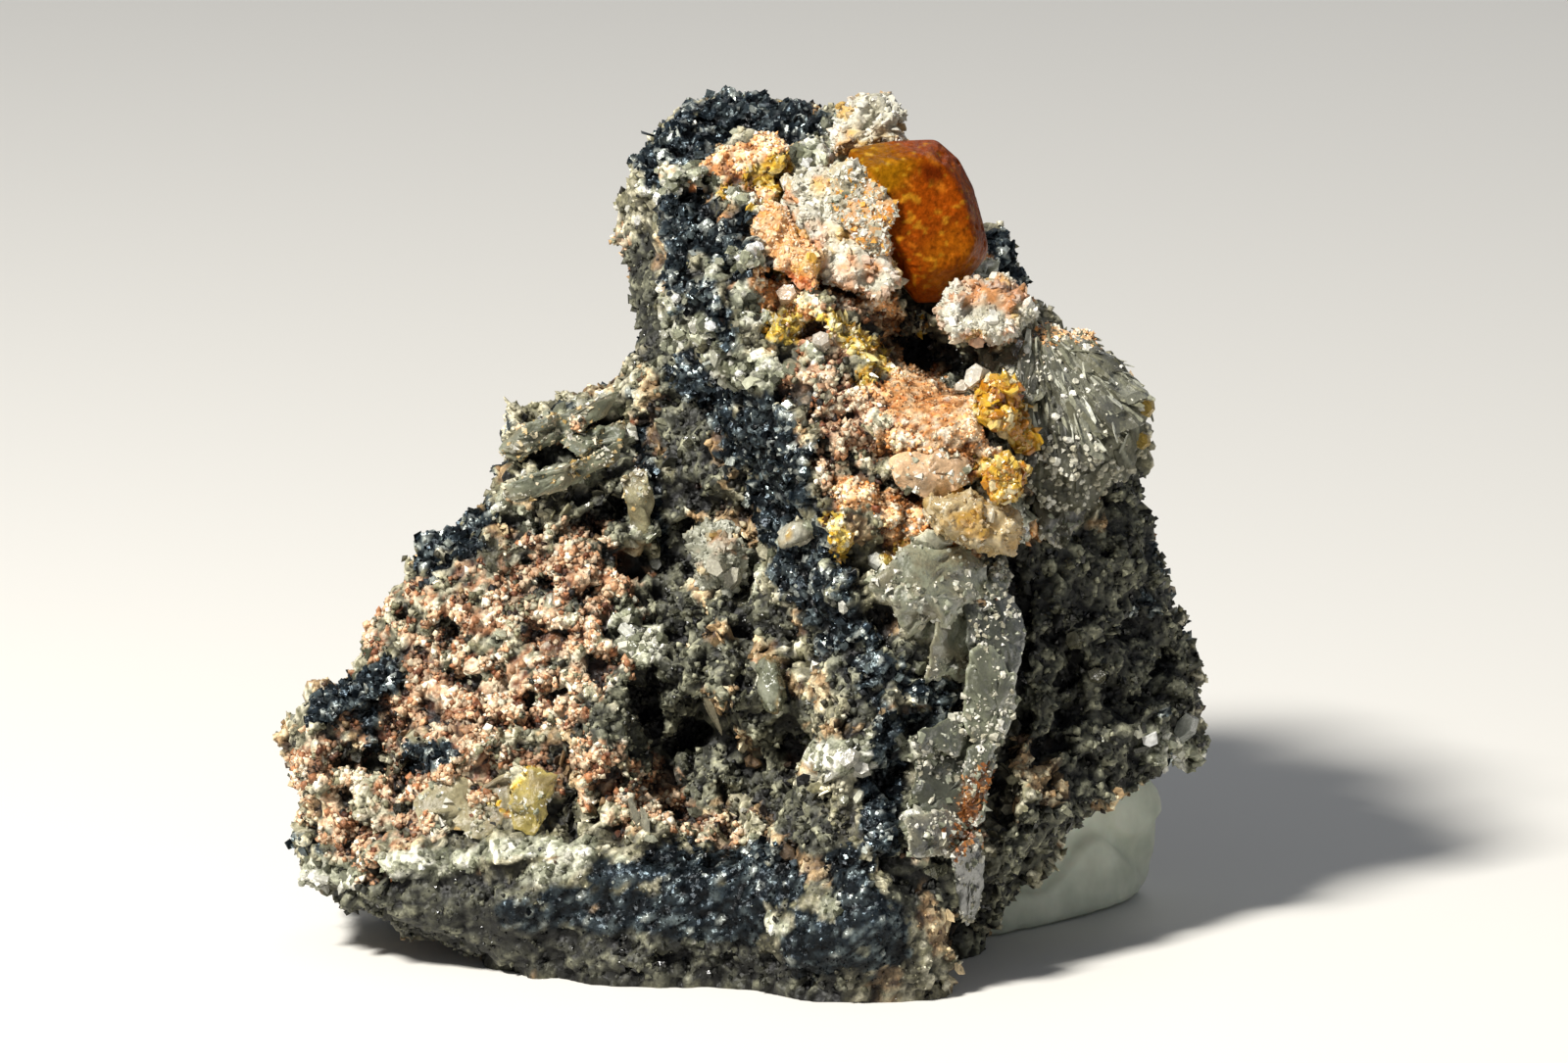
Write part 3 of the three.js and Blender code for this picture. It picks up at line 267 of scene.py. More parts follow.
def hashed(cell, seed):
    """A number from 0 to 1 for each whole-number cell: three odd products folded by xor and two shifts."""
    c = cell.astype(np.int64)
    h = c[..., 0] * 73856093 ^ c[..., 1] * 19349663 ^ c[..., 2] * 83492791 ^ (seed + 11) * 2654435761
    h = ((h ^ h >> 15) * 1274126177) & 0xFFFFFFFF
    h = ((h ^ h >> 13) * 668265263) & 0xFFFFFFFF
    return ((h ^ h >> 16) & 0xFFFFFF) / 0xFFFFFF


def swell(p, size, seed):
    """Smooth noise from -1 to 1: the eight corner numbers of a cube of side size, blended by 3t2 - 2t3."""
    q = p / size
    base = np.floor(q)
    t = q - base
    t = t * t * (3 - 2 * t)
    total = np.zeros(len(p))
    for corner in range(8):
        step = np.array([corner & 1, corner >> 1 & 1, corner >> 2 & 1])
        share = np.prod(np.where(step, t, 1 - t), axis=1)
        total += share * hashed(base + step, seed)
    return total * 2 - 1


def crumbs(p, size, seed):
    """Splits space into crumbs about scattered centres, one to a cube of side size. Gives the distance
    to the nearest centre, how much further the second is, and the crumb's own number."""
    q = p / size
    base = np.floor(q)
    near = np.full(len(p), 9.0)
    second = np.full(len(p), 9.0)
    number = np.zeros(len(p))
    for step in np.ndindex(3, 3, 3):
        cell = base + np.array(step) - 1
        centre = cell + np.stack([hashed(cell, seed + k) for k in range(3)], 1)
        away = np.linalg.norm(q - centre, axis=1)
        closer = away < near
        second = np.where(closer, near, np.minimum(second, away))
        number = np.where(closer, hashed(cell, seed + 7), number)
        near = np.where(closer, away, near)
    return near * size, (second - near) * size, number


def facets(p, size, seed):
    """Flat faces about size across, each tilted its own way: in each cell about a scattered centre, the
    cell's own random vector dotted with the way from that centre."""
    q = p / size
    base = np.floor(q)
    near = np.full(len(p), 9.0)
    height = np.zeros(len(p))
    for step in np.ndindex(3, 3, 3):
        cell = base + np.array(step) - 1
        way = q - cell - np.stack([hashed(cell, seed + k) for k in range(3)], 1)
        away = np.linalg.norm(way, axis=1)
        tilt = np.stack([hashed(cell, seed + 20 + k) for k in range(3)], 1) - 0.5
        closer = away < near
        height = np.where(closer, (way * tilt).sum(1), height)
        near = np.where(closer, away, near)
    return height * size


def ramp(value, low, high):
    """0 below low, 1 above high, and 3t2 - 2t3 between."""
    t = np.clip((value - low) / (high - low), 0, 1)
    return t * t * (3 - 2 * t)


def away_from(line, front):
    """How far each point is from a short line, square to the front: from the place on the line a share t
    along it, where t is how far along the point lies, held between 0 and 1."""
    x0, w0, x1, w1 = line
    across, up = front[:, 0] - x0, front[:, 2] - w0
    dx, dw = x1 - x0, w1 - w0
    t = np.clip((across * dx + up * dw) / (dx * dx + dw * dw + 1e-9), 0, 1)
    return np.hypot(across - t * dx, up - t * dw)


def patches(front, spots, soft=0.5):
    """How far each point is inside a set of patches, 0 to 1. A patch is all that lies within a radius
    of a short line, and its rim wanders by up to half that radius."""
    rim = swell(front, 1.3, 5) * 0.3 + swell(front, 0.5, 6) * 0.2
    found = np.zeros(len(front))
    for *line, radius in spots:
        found = np.maximum(found, ramp(radius * (1 + rim) - away_from(line, front), -soft / 2, soft / 2))
    return found


def minerals(front, facing):
    """The share of each mineral at a point: the front's own patches where the skin faces the front,
    and broad random patches of the same minerals round the sides and the back. Some quartz goes with
    the galena, and a brown stain drifts over all."""
    ahead = ramp(facing, -0.25, 0.05)
    far = ramp(front[:, 1], 0.5, 1.5)
    shares = {}
    for name, spots, level, seed in (("galena", GALENA, 0.30, 31), ("yellow", YELLOW, 0.8, 21),
                                     ("quartz", QUARTZ, 0.42, 51), ("salmon", SALMON, 0.25, 41),
                                     ("apricot", APRICOT, 0.75, 45),
                                     ("smoky", SMOKY, 0.0, 71), ("brown", BROWN, 0.1, 61)):
        here = patches(front, spots, 0.9 if name == "galena" else 0.5)
        if name == "galena":
            here = here * (1 - far) + patches(front, KNOB_GALENA) * far
        wide = swell(front, 5.5, seed) + 0.4 * swell(front, 2.1, seed + 1)
        shares[name] = here * ahead + ramp(wide, level, level + 0.3) * (1 - ahead)
    shares["quartz"] = np.maximum(shares["quartz"], 0.35 * shares["galena"])
    tan = ramp(swell(front, 2.4, 65) + 0.5 * swell(front, 0.9, 66), -0.1, 0.7)
    shares["brown"] = np.maximum(shares["brown"], 0.85 * tan)
    return shares


ORDER = tuple(MINERAL_TINTS)
HOST, BROWN_ORE, SMOKY_ORE, SALMON_ORE, APRICOT_ORE, QUARTZ_ORE, YELLOW_ORE, GALENA_ORE = range(8)
# Hardly any of a mineral shows where its share is under LEAST, and the greater its SPREAD, the fewer of
# its own crumbs show in the middle of its patch.
LEAST = {"brown": 0.15, "smoky": 0.1, "salmon": 0.22, "apricot": 0.04, "quartz": 0.12, "yellow": 0.08,
         "galena": 0.06}
SPREAD = {"brown": 1.0, "smoky": 1.0, "salmon": 1.6, "apricot": 0.9, "quartz": 1.0, "yellow": 1.1,
          "galena": 1.4}


def picked(shares, number, front):
    """One mineral for each point or grain: the last, in that order, whose share is above a
    number of its own, half chance and half a slow drift. 0 is the plain grey-green host."""
    kind = np.zeros(len(number), int)
    for index, name in enumerate(ORDER[1:], 1):
        own = 0.5 * ((number * (7.0 + index) * 3.7) % 1.0) + 0.25 * (1 + 1.3 * swell(front, 1.5, 140 + index))
        kind = np.where(shares[name] > LEAST[name] + 0.8 * SPREAD[name] * own, index, kind)
    return kind


TINTS = [np.array([linear(code) for code in row]) for row in MINERAL_TINTS.values()]


def tinted(kind, number, lightness, height):
    """A colour for each point: one of its mineral's tints, which run from the recesses to the tips, by
    its height with a number's worth of chance, times its lightness: painted shade in the recesses, painted
    highlight on the tips."""
    colour = np.zeros((len(kind), 3))
    rank = np.clip(0.45 * height + 0.6 * number - 0.02, 0, 0.999)
    for index, tints in enumerate(TINTS):
        chosen = tints[(rank * len(tints)).astype(int)]
        colour = np.where((kind == index)[:, None], chosen, colour)
    return np.clip(colour * lightness[:, None], 0, 1)


def mesh_of(name, points, faces):
    """A mesh from an array of points and an array of faces that all have the same number of corners."""
    mesh = bpy.data.meshes.new(name)
    mesh.vertices.add(len(points))
    mesh.vertices.foreach_set("co", np.ascontiguousarray(points, np.float32).ravel())
    mesh.loops.add(faces.size)
    mesh.loops.foreach_set("vertex_index", np.ascontiguousarray(faces, np.int32).ravel())
    mesh.polygons.add(len(faces))
    mesh.polygons.foreach_set("loop_start", np.arange(0, faces.size, faces.shape[1], dtype=np.int32))
    mesh.update(calc_edges=True)
    return mesh


def points_of(mesh):
    """A mesh's points as an array, in metres."""
    co = np.empty(len(mesh.vertices) * 3, np.float32)
    mesh.vertices.foreach_get("co", co)
    return co.reshape(-1, 3).astype(float)


def faces_of(mesh):
    """A mesh's faces as triangles, three point numbers to a row."""
    mesh.calc_loop_triangles()
    corners = np.empty(len(mesh.loop_triangles) * 3, np.int32)
    mesh.loop_triangles.foreach_get("vertices", corners)
    return corners.reshape(-1, 3)


def normals_of(points, faces):
    """The way out at each point: the sum of its faces' cross products, made one long."""
    a, b, c = (points[faces[:, i]] for i in range(3))
    flat = np.cross(b - a, c - a)
    total = np.stack([np.bincount(faces.ravel(), np.repeat(flat[:, k], 3), len(points))
                      for k in range(3)], 1)
    return total / np.maximum(np.linalg.norm(total, axis=1, keepdims=True), 1e-20)


def evened(points, faces, rounds, share=0.5):
    """Moves each point by a share of the way to the mean of its neighbours, as many times as rounds."""
    ends = np.concatenate([faces[:, [0, 1]], faces[:, [1, 2]], faces[:, [2, 0]]])
    weight = np.bincount(ends[:, 0], minlength=len(points)) + np.bincount(ends[:, 1], minlength=len(points))
    for _ in range(rounds):
        mean = np.stack([np.bincount(ends[:, 0], points[ends[:, 1], k], len(points))
                         + np.bincount(ends[:, 1], points[ends[:, 0], k], len(points))
                         for k in range(3)], 1) / weight[:, None]
        points = points + (mean - points) * share
    return points


# In metres: points nearer than this, where a solid's loose triangles meet, are one point.
SAME_POINT = 0.000002


def refilled(mesh, cell, rounds):
    """A mesh filled with cubes of side cell in mm, its new skin made even. Gives points and faces."""
    copy = bpy.data.objects.new("copy", mesh)
    bpy.context.scene.collection.objects.link(copy)
    weld = copy.modifiers.new("weld", "WELD")
    weld.merge_threshold = SAME_POINT
    fill = copy.modifiers.new("fill", "REMESH")
    fill.mode = "VOXEL"
    fill.voxel_size = cell * MM
    ready = copy.evaluated_get(bpy.context.evaluated_depsgraph_get())
    made = bpy.data.meshes.new_from_object(ready)
    bpy.data.objects.remove(copy)
    points, faces = points_of(made), faces_of(made)
    bpy.data.meshes.remove(made)
    bpy.data.meshes.remove(mesh)
    return evened(points, faces, rounds), faces


def skin_of(node, cell, rounds):
    """A node's own solid, refilled. No grid of two parameters can follow a grown rock, so it is made so."""
    return refilled(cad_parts[node].data.copy(), cell, rounds)


# In metres: every piece stays this far inside the box of the solids.
INSET = 0.00002
LOW, HIGH = np.array(cad_box[0]) + INSET, np.array(cad_box[1]) - INSET


def add(tree, kind, inputs=None, **settings):
    """Adds a node with its settings. Each input is a value or another node's output."""
    node = tree.nodes.new(kind)
    for name, value in settings.items():
        setattr(node, name, value)
    for name, value in (inputs or {}).items():
        if isinstance(value, bpy.types.NodeSocket):
            tree.links.new(value, node.inputs[name])
        else:
            node.inputs[name].default_value = value
    return node


def glinting(tree, place, size, tilt):
    """Height in metres of flat facets, each tilted its own way: a cell's random vector dotted with the
    way from the cell's centre, times tilt. size is a facet's width in mm."""
    cells = add(tree, "ShaderNodeTexVoronoi", {"Vector": place, "Scale": 1000 / size})
    centred = add(tree, "ShaderNodeVectorMath", {0: cells.outputs["Color"], 1: (0.5, 0.5, 0.5)},
                  operation="SUBTRACT")
    spot = add(tree, "ShaderNodeVectorMath", {0: place, 1: cells.outputs["Position"]}, operation="SUBTRACT")
    slope = add(tree, "ShaderNodeVectorMath", {0: centred.outputs[0], 1: spot.outputs[0]},
                operation="DOT_PRODUCT")
    return add(tree, "ShaderNodeMath", {0: slope.outputs["Value"], 1: tilt}, operation="MULTIPLY").outputs[0]


# Real grit and specks are too fine to show, so they are drawn this coarse: grains to a mm, how high in
# metres the tallest stand, and specks this many mm wide.
GRIT_PER_MM, GRIT_HEIGHT, SPECK = 4.5, 0.00006, 0.14


def crumbly_finish(name, rough, facet, tilt, mottle=1.0, **settings):
    """A finish for grown crumb and crystal crust. Colour and metal shine come from the piece's own
    attributes, finely mottled, and the relief too fine for the mesh is flat facets and grit."""
    finish = bpy.data.materials.new(name)
    finish.use_nodes = True
    tree = finish.node_tree
    shader = tree.nodes["Principled BSDF"]
    place = add(tree, "ShaderNodeTexCoord").outputs["Object"]
    tint = add(tree, "ShaderNodeAttribute", attribute_name="tint").outputs["Color"]
    metal = add(tree, "ShaderNodeAttribute", attribute_name="metal").outputs["Fac"]
    grit = add(tree, "ShaderNodeTexNoise", {"Vector": place, "Scale": GRIT_PER_MM / MM, "Detail": 3.0})
    shade = add(tree, "ShaderNodeMapRange", {"Value": grit.outputs["Fac"], "From Min": 0.3, "From Max": 0.7,
                                             "To Min": 1 - 0.35 * mottle, "To Max": 1 + 0.3 * mottle})
    speck = add(tree, "ShaderNodeTexVoronoi", {"Vector": place, "Scale": 1000 / SPECK})
    fleck = add(tree, "ShaderNodeMapRange", {"Value": speck.outputs["Color"], "To Min": 1 - 0.35 * mottle,
                                              "To Max": 1 + 0.35 * mottle})
    light = add(tree, "ShaderNodeMath", {0: shade.outputs[0], 1: fleck.outputs[0]}, operation="MULTIPLY")
    colour = add(tree, "ShaderNodeVectorMath", {0: tint, "Scale": light.outputs[0]}, operation="SCALE")
    matt = add(tree, "ShaderNodeMapRange", {"Value": metal, "To Min": rough, "To Max": 0.3})
    facets = glinting(tree, place, facet, tilt)
    height = add(tree, "ShaderNodeMath", {0: grit.outputs["Fac"], 1: GRIT_HEIGHT, 2: facets},
                 operation="MULTIPLY_ADD")
    bump = add(tree, "ShaderNodeBump", {"Height": height.outputs[0], "Distance": 1.0, "Strength": 1.0})
    tree.links.new(colour.outputs[0], shader.inputs["Base Color"])
    tree.links.new(metal, shader.inputs["Metallic"])
    tree.links.new(matt.outputs[0], shader.inputs["Roughness"])
    tree.links.new(bump.outputs[0], shader.inputs["Normal"])
    for socket, value in settings.items():
        shader.inputs[socket.replace("_", " ")].default_value = value
    return finish


def piece(name, points, faces, finish, slot, nodes=(), smooth=True, **fields):
    """Puts a finished mesh in the scene: its attributes, finish, shading, body and nodes. slot is not used.
    """
    mesh = mesh_of(name, np.clip(points, LOW, HIGH), faces)
    for field, values in fields.items():
        if values.ndim == 2:
            colour = np.concatenate([values, np.ones((len(values), 1))], 1)
            mesh.attributes.new(field, "FLOAT_COLOR", "POINT").data.foreach_set(
                "color", np.ascontiguousarray(colour, np.float32).ravel())
        else:
            mesh.attributes.new(field, "FLOAT", "POINT").data.foreach_set(
                "value", np.ascontiguousarray(values, np.float32))
    mesh.polygons.foreach_set("use_smooth", np.broadcast_to(smooth, len(mesh.polygons)).copy())
    mesh.materials.append(finish)
    made = bpy.data.objects.new(name, mesh)
    bpy.context.scene.collection.objects.link(made)
    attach(made, "root")
    if nodes:
        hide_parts(*nodes)


def pressed(front, spots):
    """How far the skin is pushed in, in mm, by a set of round-ended dents or bosses. Each has its full
    depth within 0.35 of its reach and fades to nothing at 1.35 of it, by 1 - 3t2 + 2t3, and its rim
    wanders."""
    rim = 1 + 0.45 * swell(front, 0.9, 7) + 0.25 * swell(front, 0.4, 8)
    total = np.zeros(len(front))
    for *line, radius, depth in spots:
        away = away_from(line, front) / (radius * rim)
        shape = depth * ramp(-away, -1.35, -0.35)
        total = np.where(np.abs(shape) > np.abs(total), shape, total)
    return total


def turned(outward):
    """A direction in the scene turned into across, deep and up on the leaning front."""
    return to_front(outward * MM) - to_front(np.zeros((1, 3)))


def heading(across, deep, up):
    """The way back: a direction on the leaning front turned into the scene, in metres for each mm."""
    return from_front(across, deep, up) - from_front(0, 0, 0)


BACKWARD = heading(0, 1, 0)

# First the large relief: lumps and stones on broad swells, pits where the crumb is open, dents and bosses.
rough, rough_faces = skin_of("matrix", ROUGH_CELL, 4)
foot = rough[:, 2] < FOOT
way_out = normals_of(rough, rough_faces)
front = to_front(rough)
facing = -turned(way_out)[:, 1]
shares = minerals(front, facing)
open_crumb = np.clip(shares["salmon"] + shares["brown"] + 0.75 - shares["quartz"] - shares["galena"], 0, 1)
_, lump_edge, lump = crumbs(front, LUMP, 71)
_, stone_edge, stone = crumbs(front, STONE, 76)
swollen = (0.55 * swell(front, 3.6, 93) + 0.35 * swell(front, 1.7, 94)
           + 0.5 * (lump - 0.5) - 0.35 * (1 - ramp(lump_edge, 0, 0.5))
           + 0.5 * (stone - 0.5) - 0.25 * (1 - ramp(stone_edge, 0, 0.35))
           - 0.9 * ramp(swell(front, 1.9, 95), 0.35, 0.8) * open_crumb)
calm = patches(front, CALM, 1.2) * ramp(facing, -0.2, 0.2)
swollen = swollen * (1 - 0.6 * calm)
dent = (pressed(front, HOLLOWS) + pressed(front, BOSSES)) * ramp(facing, -0.2, 0.2)
rough = (rough + np.where(foot, 0, swollen)[:, None] * way_out * MM
         + np.where(foot, 0, dent)[:, None] * BACKWARD)
rough[:, 2] = np.where(foot, 0, np.maximum(rough[:, 2], 0))
rock, rock_faces = refilled(mesh_of("rough", rough, rough_faces), ROCK_CELL, 2)
foot = rock[:, 2] < FINE_FOOT

# Then, on the finer skin, clods and pores, flat faces where quartz and galena show, and grain over all.
way_out = normals_of(rock, rock_faces)
front = to_front(rock)
facing = -turned(way_out)[:, 1]
shares = minerals(front, facing)
open_crumb = np.clip(shares["salmon"] + shares["brown"] + 0.7 - shares["quartz"] - shares["galena"]
                     - 0.6 * shares["apricot"], 0, 1)
_, clod_edge, clod = crumbs(front, CLOD, 81)
pores = ramp(swell(front, 1.1, 91) + 0.6 * swell(front, 0.55, 92), 0.12, 0.62)
push = (0.34 * (clod - 0.5) - 0.2 * (1 - ramp(clod_edge, 0, 0.25))
        + 0.15 * swell(front, 0.8, 96) - 1.1 * pores * open_crumb)
calm = patches(front, CALM, 1.2) * ramp(facing, -0.2, 0.2)
push = push * (1 - 0.65 * calm)
crystalline = np.clip(shares["quartz"] + shares["galena"], 0, 1)
push = push + 1.1 * facets(front, 1.0, 86) * crystalline * (1 - 0.6 * calm)
rock = rock + way_out * np.where(foot, 0, push)[:, None] * MM
way_out = normals_of(rock, rock_faces)
front = to_front(rock)
_, grain_edge, grain = crumbs(front, GRAIN, 101)
push = (0.2 * (grain - 0.5) + 0.08 * ramp(grain_edge, 0, 0.2)) * (1 - 0.4 * calm)
rock = rock + way_out * np.where(foot, 0, push)[:, None] * MM
rock[:, 2] = np.where(foot, 0, rock[:, 2])

# How far each point stands out of the skin round it, in mm: the tips are paler, partly painted highlight, and
# the recesses rustier and darker, partly painted shade.
proud = ((rock - evened(rock, rock_faces, 14)) * way_out).sum(1) / MM
height = np.clip(0.5 + proud / 0.5, 0, 1)

kind = picked(shares, crumbs(front, 0.55, 111)[2], front)
speck = crumbs(front, 0.33, 121)[2]
# Painted shade: the hollows and the skin low on the front are darker, and the lightness also darkens each
# recess by its height.
shaded = ramp(pressed(front, HOLLOWS), 0.3, 1.6) * ramp(facing, -0.2, 0.2)
shaded = np.maximum(shaded, 0.75 * ramp(4.6 - front[:, 2] - 0.12 * front[:, 0], 0, 2.5))
lightness = (0.12 + 0.98 * height) * (0.95 + 0.25 * swell(front, 2.6, 131)) * (1 - 0.6 * shaded)
rock_tint = tinted(kind, speck, lightness, height)
rock_metal = np.where(kind == GALENA_ORE, 0.7, 0.0)

# Mixed ore, naturally broken and grown over: dull and sugary, and where galena shows it shines like lead.
ORE = crumbly_finish("Sugary ore with galena", 0.62, 0.22, 0.9)
piece("ore_mass", rock, rock_faces, ORE, "host_rock", ["matrix"], tint=rock_tint, metal=rock_metal)


# Crumb and crystals grown over the rock: salmon, apricot and grey-green crumb, smoky prisms, quartz points
# and blocks, galena cubes and plates, yellow needles and thin leaves. Each is a small crystal of its own,
# rooted in the skin of the rock.

# The shape of each small crystal: its points, in half widths, and its faces.
CHIPS = (np.array([(1, 0, -0.5), (0, 1, -0.5), (-1, 0, -0.5), (0, -1, -0.5), (0, 0, 1)]) * 1.15,
         np.array([(0, 1, 4), (1, 2, 4), (2, 3, 4), (3, 0, 4), (1, 0, 2), (2, 0, 3)]))
CUBES = (np.array([(x, y, z) for x in (-1, 1) for y in (-1, 1) for z in (-1, 1)]) * 0.6,
         np.array([(0, 1, 3), (0, 3, 2), (4, 6, 7), (4, 7, 5), (0, 4, 5), (0, 5, 1),
                   (2, 3, 7), (2, 7, 6), (0, 2, 6), (0, 6, 4), (1, 5, 7), (1, 7, 3)]))
KNOBS = (np.array([(1, 0, 0), (0, 1, 0), (-1, 0, 0), (0, -1, 0), (0, 0, 1), (0, 0, -1)]) * 1.1,
         np.array([(0, 1, 4), (1, 2, 4), (2, 3, 4), (3, 0, 4), (1, 0, 5), (2, 1, 5), (3, 2, 5), (0, 3, 5)]))


def stacked(rings, sides, tip=None):
    """A crystal made of rings of corners, each ring a height and two half widths, on one axis: walls
    between the rings, a fan of faces over each end, or faces that meet in a tip at a height."""
    turn = (np.arange(sides) + 0.5) * 2 * np.pi / sides
    points = np.concatenate([np.stack([np.cos(turn) * wide, np.sin(turn) * deep, np.full(sides, high)], 1)
                             for high, wide, deep in rings])
    i = np.arange(sides)
    j = (i + 1) % sides
    walls = [np.concatenate([np.c_[i, j, j + sides], np.c_[i, j + sides, i + sides]]) + k * sides
             for k in range(len(rings) - 1)]
    fan = np.arange(1, sides - 1)
    last = (len(rings) - 1) * sides
    hub = np.zeros(sides - 2, int)
    ends = [np.c_[hub, fan + 1, fan], np.c_[hub, fan, fan + 1] + last]
    if tip is not None:
        points = np.concatenate([points, [(0, 0, tip)]])
        ends[1] = np.c_[i + last, j + last, np.full(sides, last + sides)]
    return points, np.concatenate(walls + ends)


POINT = stacked([(-1, 1, 1), (0.25, 0.95, 0.95)], 6, tip=1)
NEEDLE = stacked([(-1, 1, 1), (0.2, 0.9, 0.9)], 4, tip=1)
TABLET = stacked([(-1, 1, 1), (1, 0.86, 0.86)], 6)
BLADE = stacked([(-1, 0.6, 0.6), (-0.1, 1, 1), (1, 0.4, 0.5)], 4)
BLADE = (BLADE[0][:, [2, 0, 1]], BLADE[1])


def spots_on(points, faces, count, wanted, seed):
    """Random places on a skin: faces drawn in proportion to their area times wanted, one number for each
    point, then an even place inside each face. Gives the places, the way out and the face numbers."""
    dice = np.random.default_rng(seed)
    a, b, c = (points[faces[:, k]] for k in range(3))
    flat = np.cross(b - a, c - a)
    area = np.linalg.norm(flat, axis=1)
    odds = area * wanted[faces].mean(1)
    face = dice.choice(len(faces), count, p=odds / odds.sum())
    s, t = dice.random(count), dice.random(count)
    s, t = np.where(s + t > 1, 1 - s, s)[:, None], np.where(s + t > 1, 1 - t, t)[:, None]
    place = a[face] + (b - a)[face] * s + (c - a)[face] * t
    return place, flat[face] / area[face, None], face


def grown_on(place, axis, crystal, size, lean, sunk, uneven, seed, along=None, stray=0.15):
    """Many small crystals as one mesh: the shape, scaled by size (three numbers each, in mm), set on its
    axis, which leans at random, and turned at random about it, or laid along a given way that strays a
    little. Its middle stands off the skin by its half length less the share sunk, and its points are
    shaken."""
    shape, faces = crystal
    dice = np.random.default_rng(seed)
    count = len(place)
    axis = axis + dice.normal(0, lean, (count, 3))
    axis /= np.linalg.norm(axis, axis=1, keepdims=True)
    guide = dice.normal(0, 1, (count, 3))
    if along is not None:
        guide = along + guide * stray
    third = np.cross(axis, guide)
    third /= np.linalg.norm(third, axis=1, keepdims=True)
    side = np.cross(third, axis)
    local = shape[None] * (1 + dice.uniform(-uneven, uneven, (count, len(shape), 1))) * size[:, None, :] * MM
    local[:, :, 2] += (1 - sunk) * size[:, None, 2] * MM
    made = (place[:, None] + local[..., :1] * side[:, None] + local[..., 1:2] * third[:, None]
            + local[..., 2:] * axis[:, None])
    inside = np.all((made > LOW) & (made < HIGH), axis=(1, 2))
    made = made[inside]
    numbers = faces[None] + (np.arange(len(made)) * len(shape))[:, None, None]
    return made.reshape(-1, 3), numbers.reshape(-1, 3), inside


def seeded(points, faces, wanted, count, crystal, low, high, ratio, lean, sunk, uneven, seed, axis=None,
           along=None, edge_on=False, scale=None):
    """Crystals grown over a skin, most of them small: half widths from low to high in mm, and ratio how
    long each is for its width. They stand on the skin, or on one axis if it is given, or on edge. Gives
    the mesh and, for each crystal, the number of the skin point under it."""
    place, outward, face = spots_on(points, faces, count, wanted, seed)
    dice = np.random.default_rng(seed + 1)
    width = low + (high - low) * dice.random(count) ** 2.2
    if scale is not None:
        width = width * scale[faces[face, 0]]
    size = np.stack([width * dice.uniform(0.75, 1.2, count), width * dice.uniform(0.75, 1.2, count),
                     width * ratio * dice.uniform(0.7, 1.3, count)], 1)
    if edge_on:
        guide = np.cross(outward, dice.normal(0, 1, (count, 3)))
        place = place + outward * width[:, None] * 0.5 * MM
        outward = guide / np.linalg.norm(guide, axis=1, keepdims=True)
    if axis is not None:
        outward = np.broadcast_to(axis, outward.shape)
    if along is not None:
        along = along[faces[face, 0]]
        size = size * np.array([ratio, 1, 0.3 / ratio])
    made, numbers, inside = grown_on(place, outward, crystal, size, lean, sunk, uneven, seed + 2, along)
    return made, numbers, faces[face[inside], 0]


# Crystals stand thickest on the front, and none is rooted on the foot.
seen = 0.25 + 0.75 * ramp(facing, -0.3, 0.2)
standing = np.where(rock[:, 2] < BARE_FOOT, 0, 1.0) * seen


def crust(name, chosen, count, crystal, low, high, ratio, lean, sunk, uneven, finish, slot, seed,
          grown=None, metal=0.0, edge_on=False, bright=1.0, smooth=False):
    """One crust of small crystals on the rock. chosen gives how thickly it grows at each point. Each
    crystal takes its colour from the mineral under it, or from the one that grown names."""
    points, corners, under = seeded(rock, rock_faces, chosen * standing, count, crystal, low, high, ratio,
                                    lean, sunk, uneven, seed, edge_on=edge_on, scale=1 - 0.4 * calm)
    dice = np.random.default_rng(seed + 3)
    mineral = kind[under] if grown is None else np.full(len(under), grown)
    # Painted shade: a crystal rooted in a recess, in a hollow or low on the front is darker.
    light = dice.uniform(0.8, 1.2, len(under)) * (0.25 + 0.85 * height[under]) * (1 - 0.6 * shaded[under])
    tint = tinted(mineral, dice.random(len(under)), light * bright, height[under])
    each = len(crystal[0])
    piece(name, points, corners, finish, slot, smooth=smooth, tint=np.repeat(tint, each, axis=0),
          metal=np.full(len(points), metal))


# Crumbled crust, weathered: dull sugary grains, a facet catching the light here and there.
CRUMB = crumbly_finish("Crumbled sugary crust", 0.6, 0.2, 0.5)
# Quartz grown milky and close: a soft shine, and some light goes in.
DRUSE = crumbly_finish("Milky quartz druse", 0.44, 0.3, 0.3, mottle=0.4, Transmission_Weight=0.3, IOR=1.54,
                       Specular_IOR_Level=0.3)
# Clear quartz with its own grown faces: glassy, and half the light goes through.
CLEAR = crumbly_finish("Clear quartz crystal", 0.22, 0.3, 0.2, mottle=0.5, Transmission_Weight=0.5, IOR=1.54)
# Galena split along its cleavage: flat dark faces that flash like a mirror.
GALENA_FACE = crumbly_finish("Galena cleavage", 0.26, 0.3, 0.5)
# Small yellow crystals with their own grown faces: a resin-like shine, partly see-through.
YELLOW_FACE = crumbly_finish("Yellow needle crystals", 0.3, 0.3, 0.3, mottle=0.5, Transmission_Weight=0.4,
                             IOR=1.8)
# Old crust broken into leaves, weathered: dull and dusty.
LEAF = crumbly_finish("Thin leaves of old crust", 0.6, 0.2, 0.6)

clump = ramp(swell(front, 0.9, 151) + 0.5 * height, -0.2, 0.5)
on_host = np.where(kind <= SMOKY_ORE, 1.0, 0.0) * clump
on_smoky = np.where((kind == SMOKY_ORE) | (kind == HOST), 1.0, 0.0) * patches(front, SMOKY)
on_leaves = np.where(kind <= BROWN_ORE, 1.0, 0.0) * (0.04 + ramp(pressed(front, HOLLOWS), 0.05, 0.5))

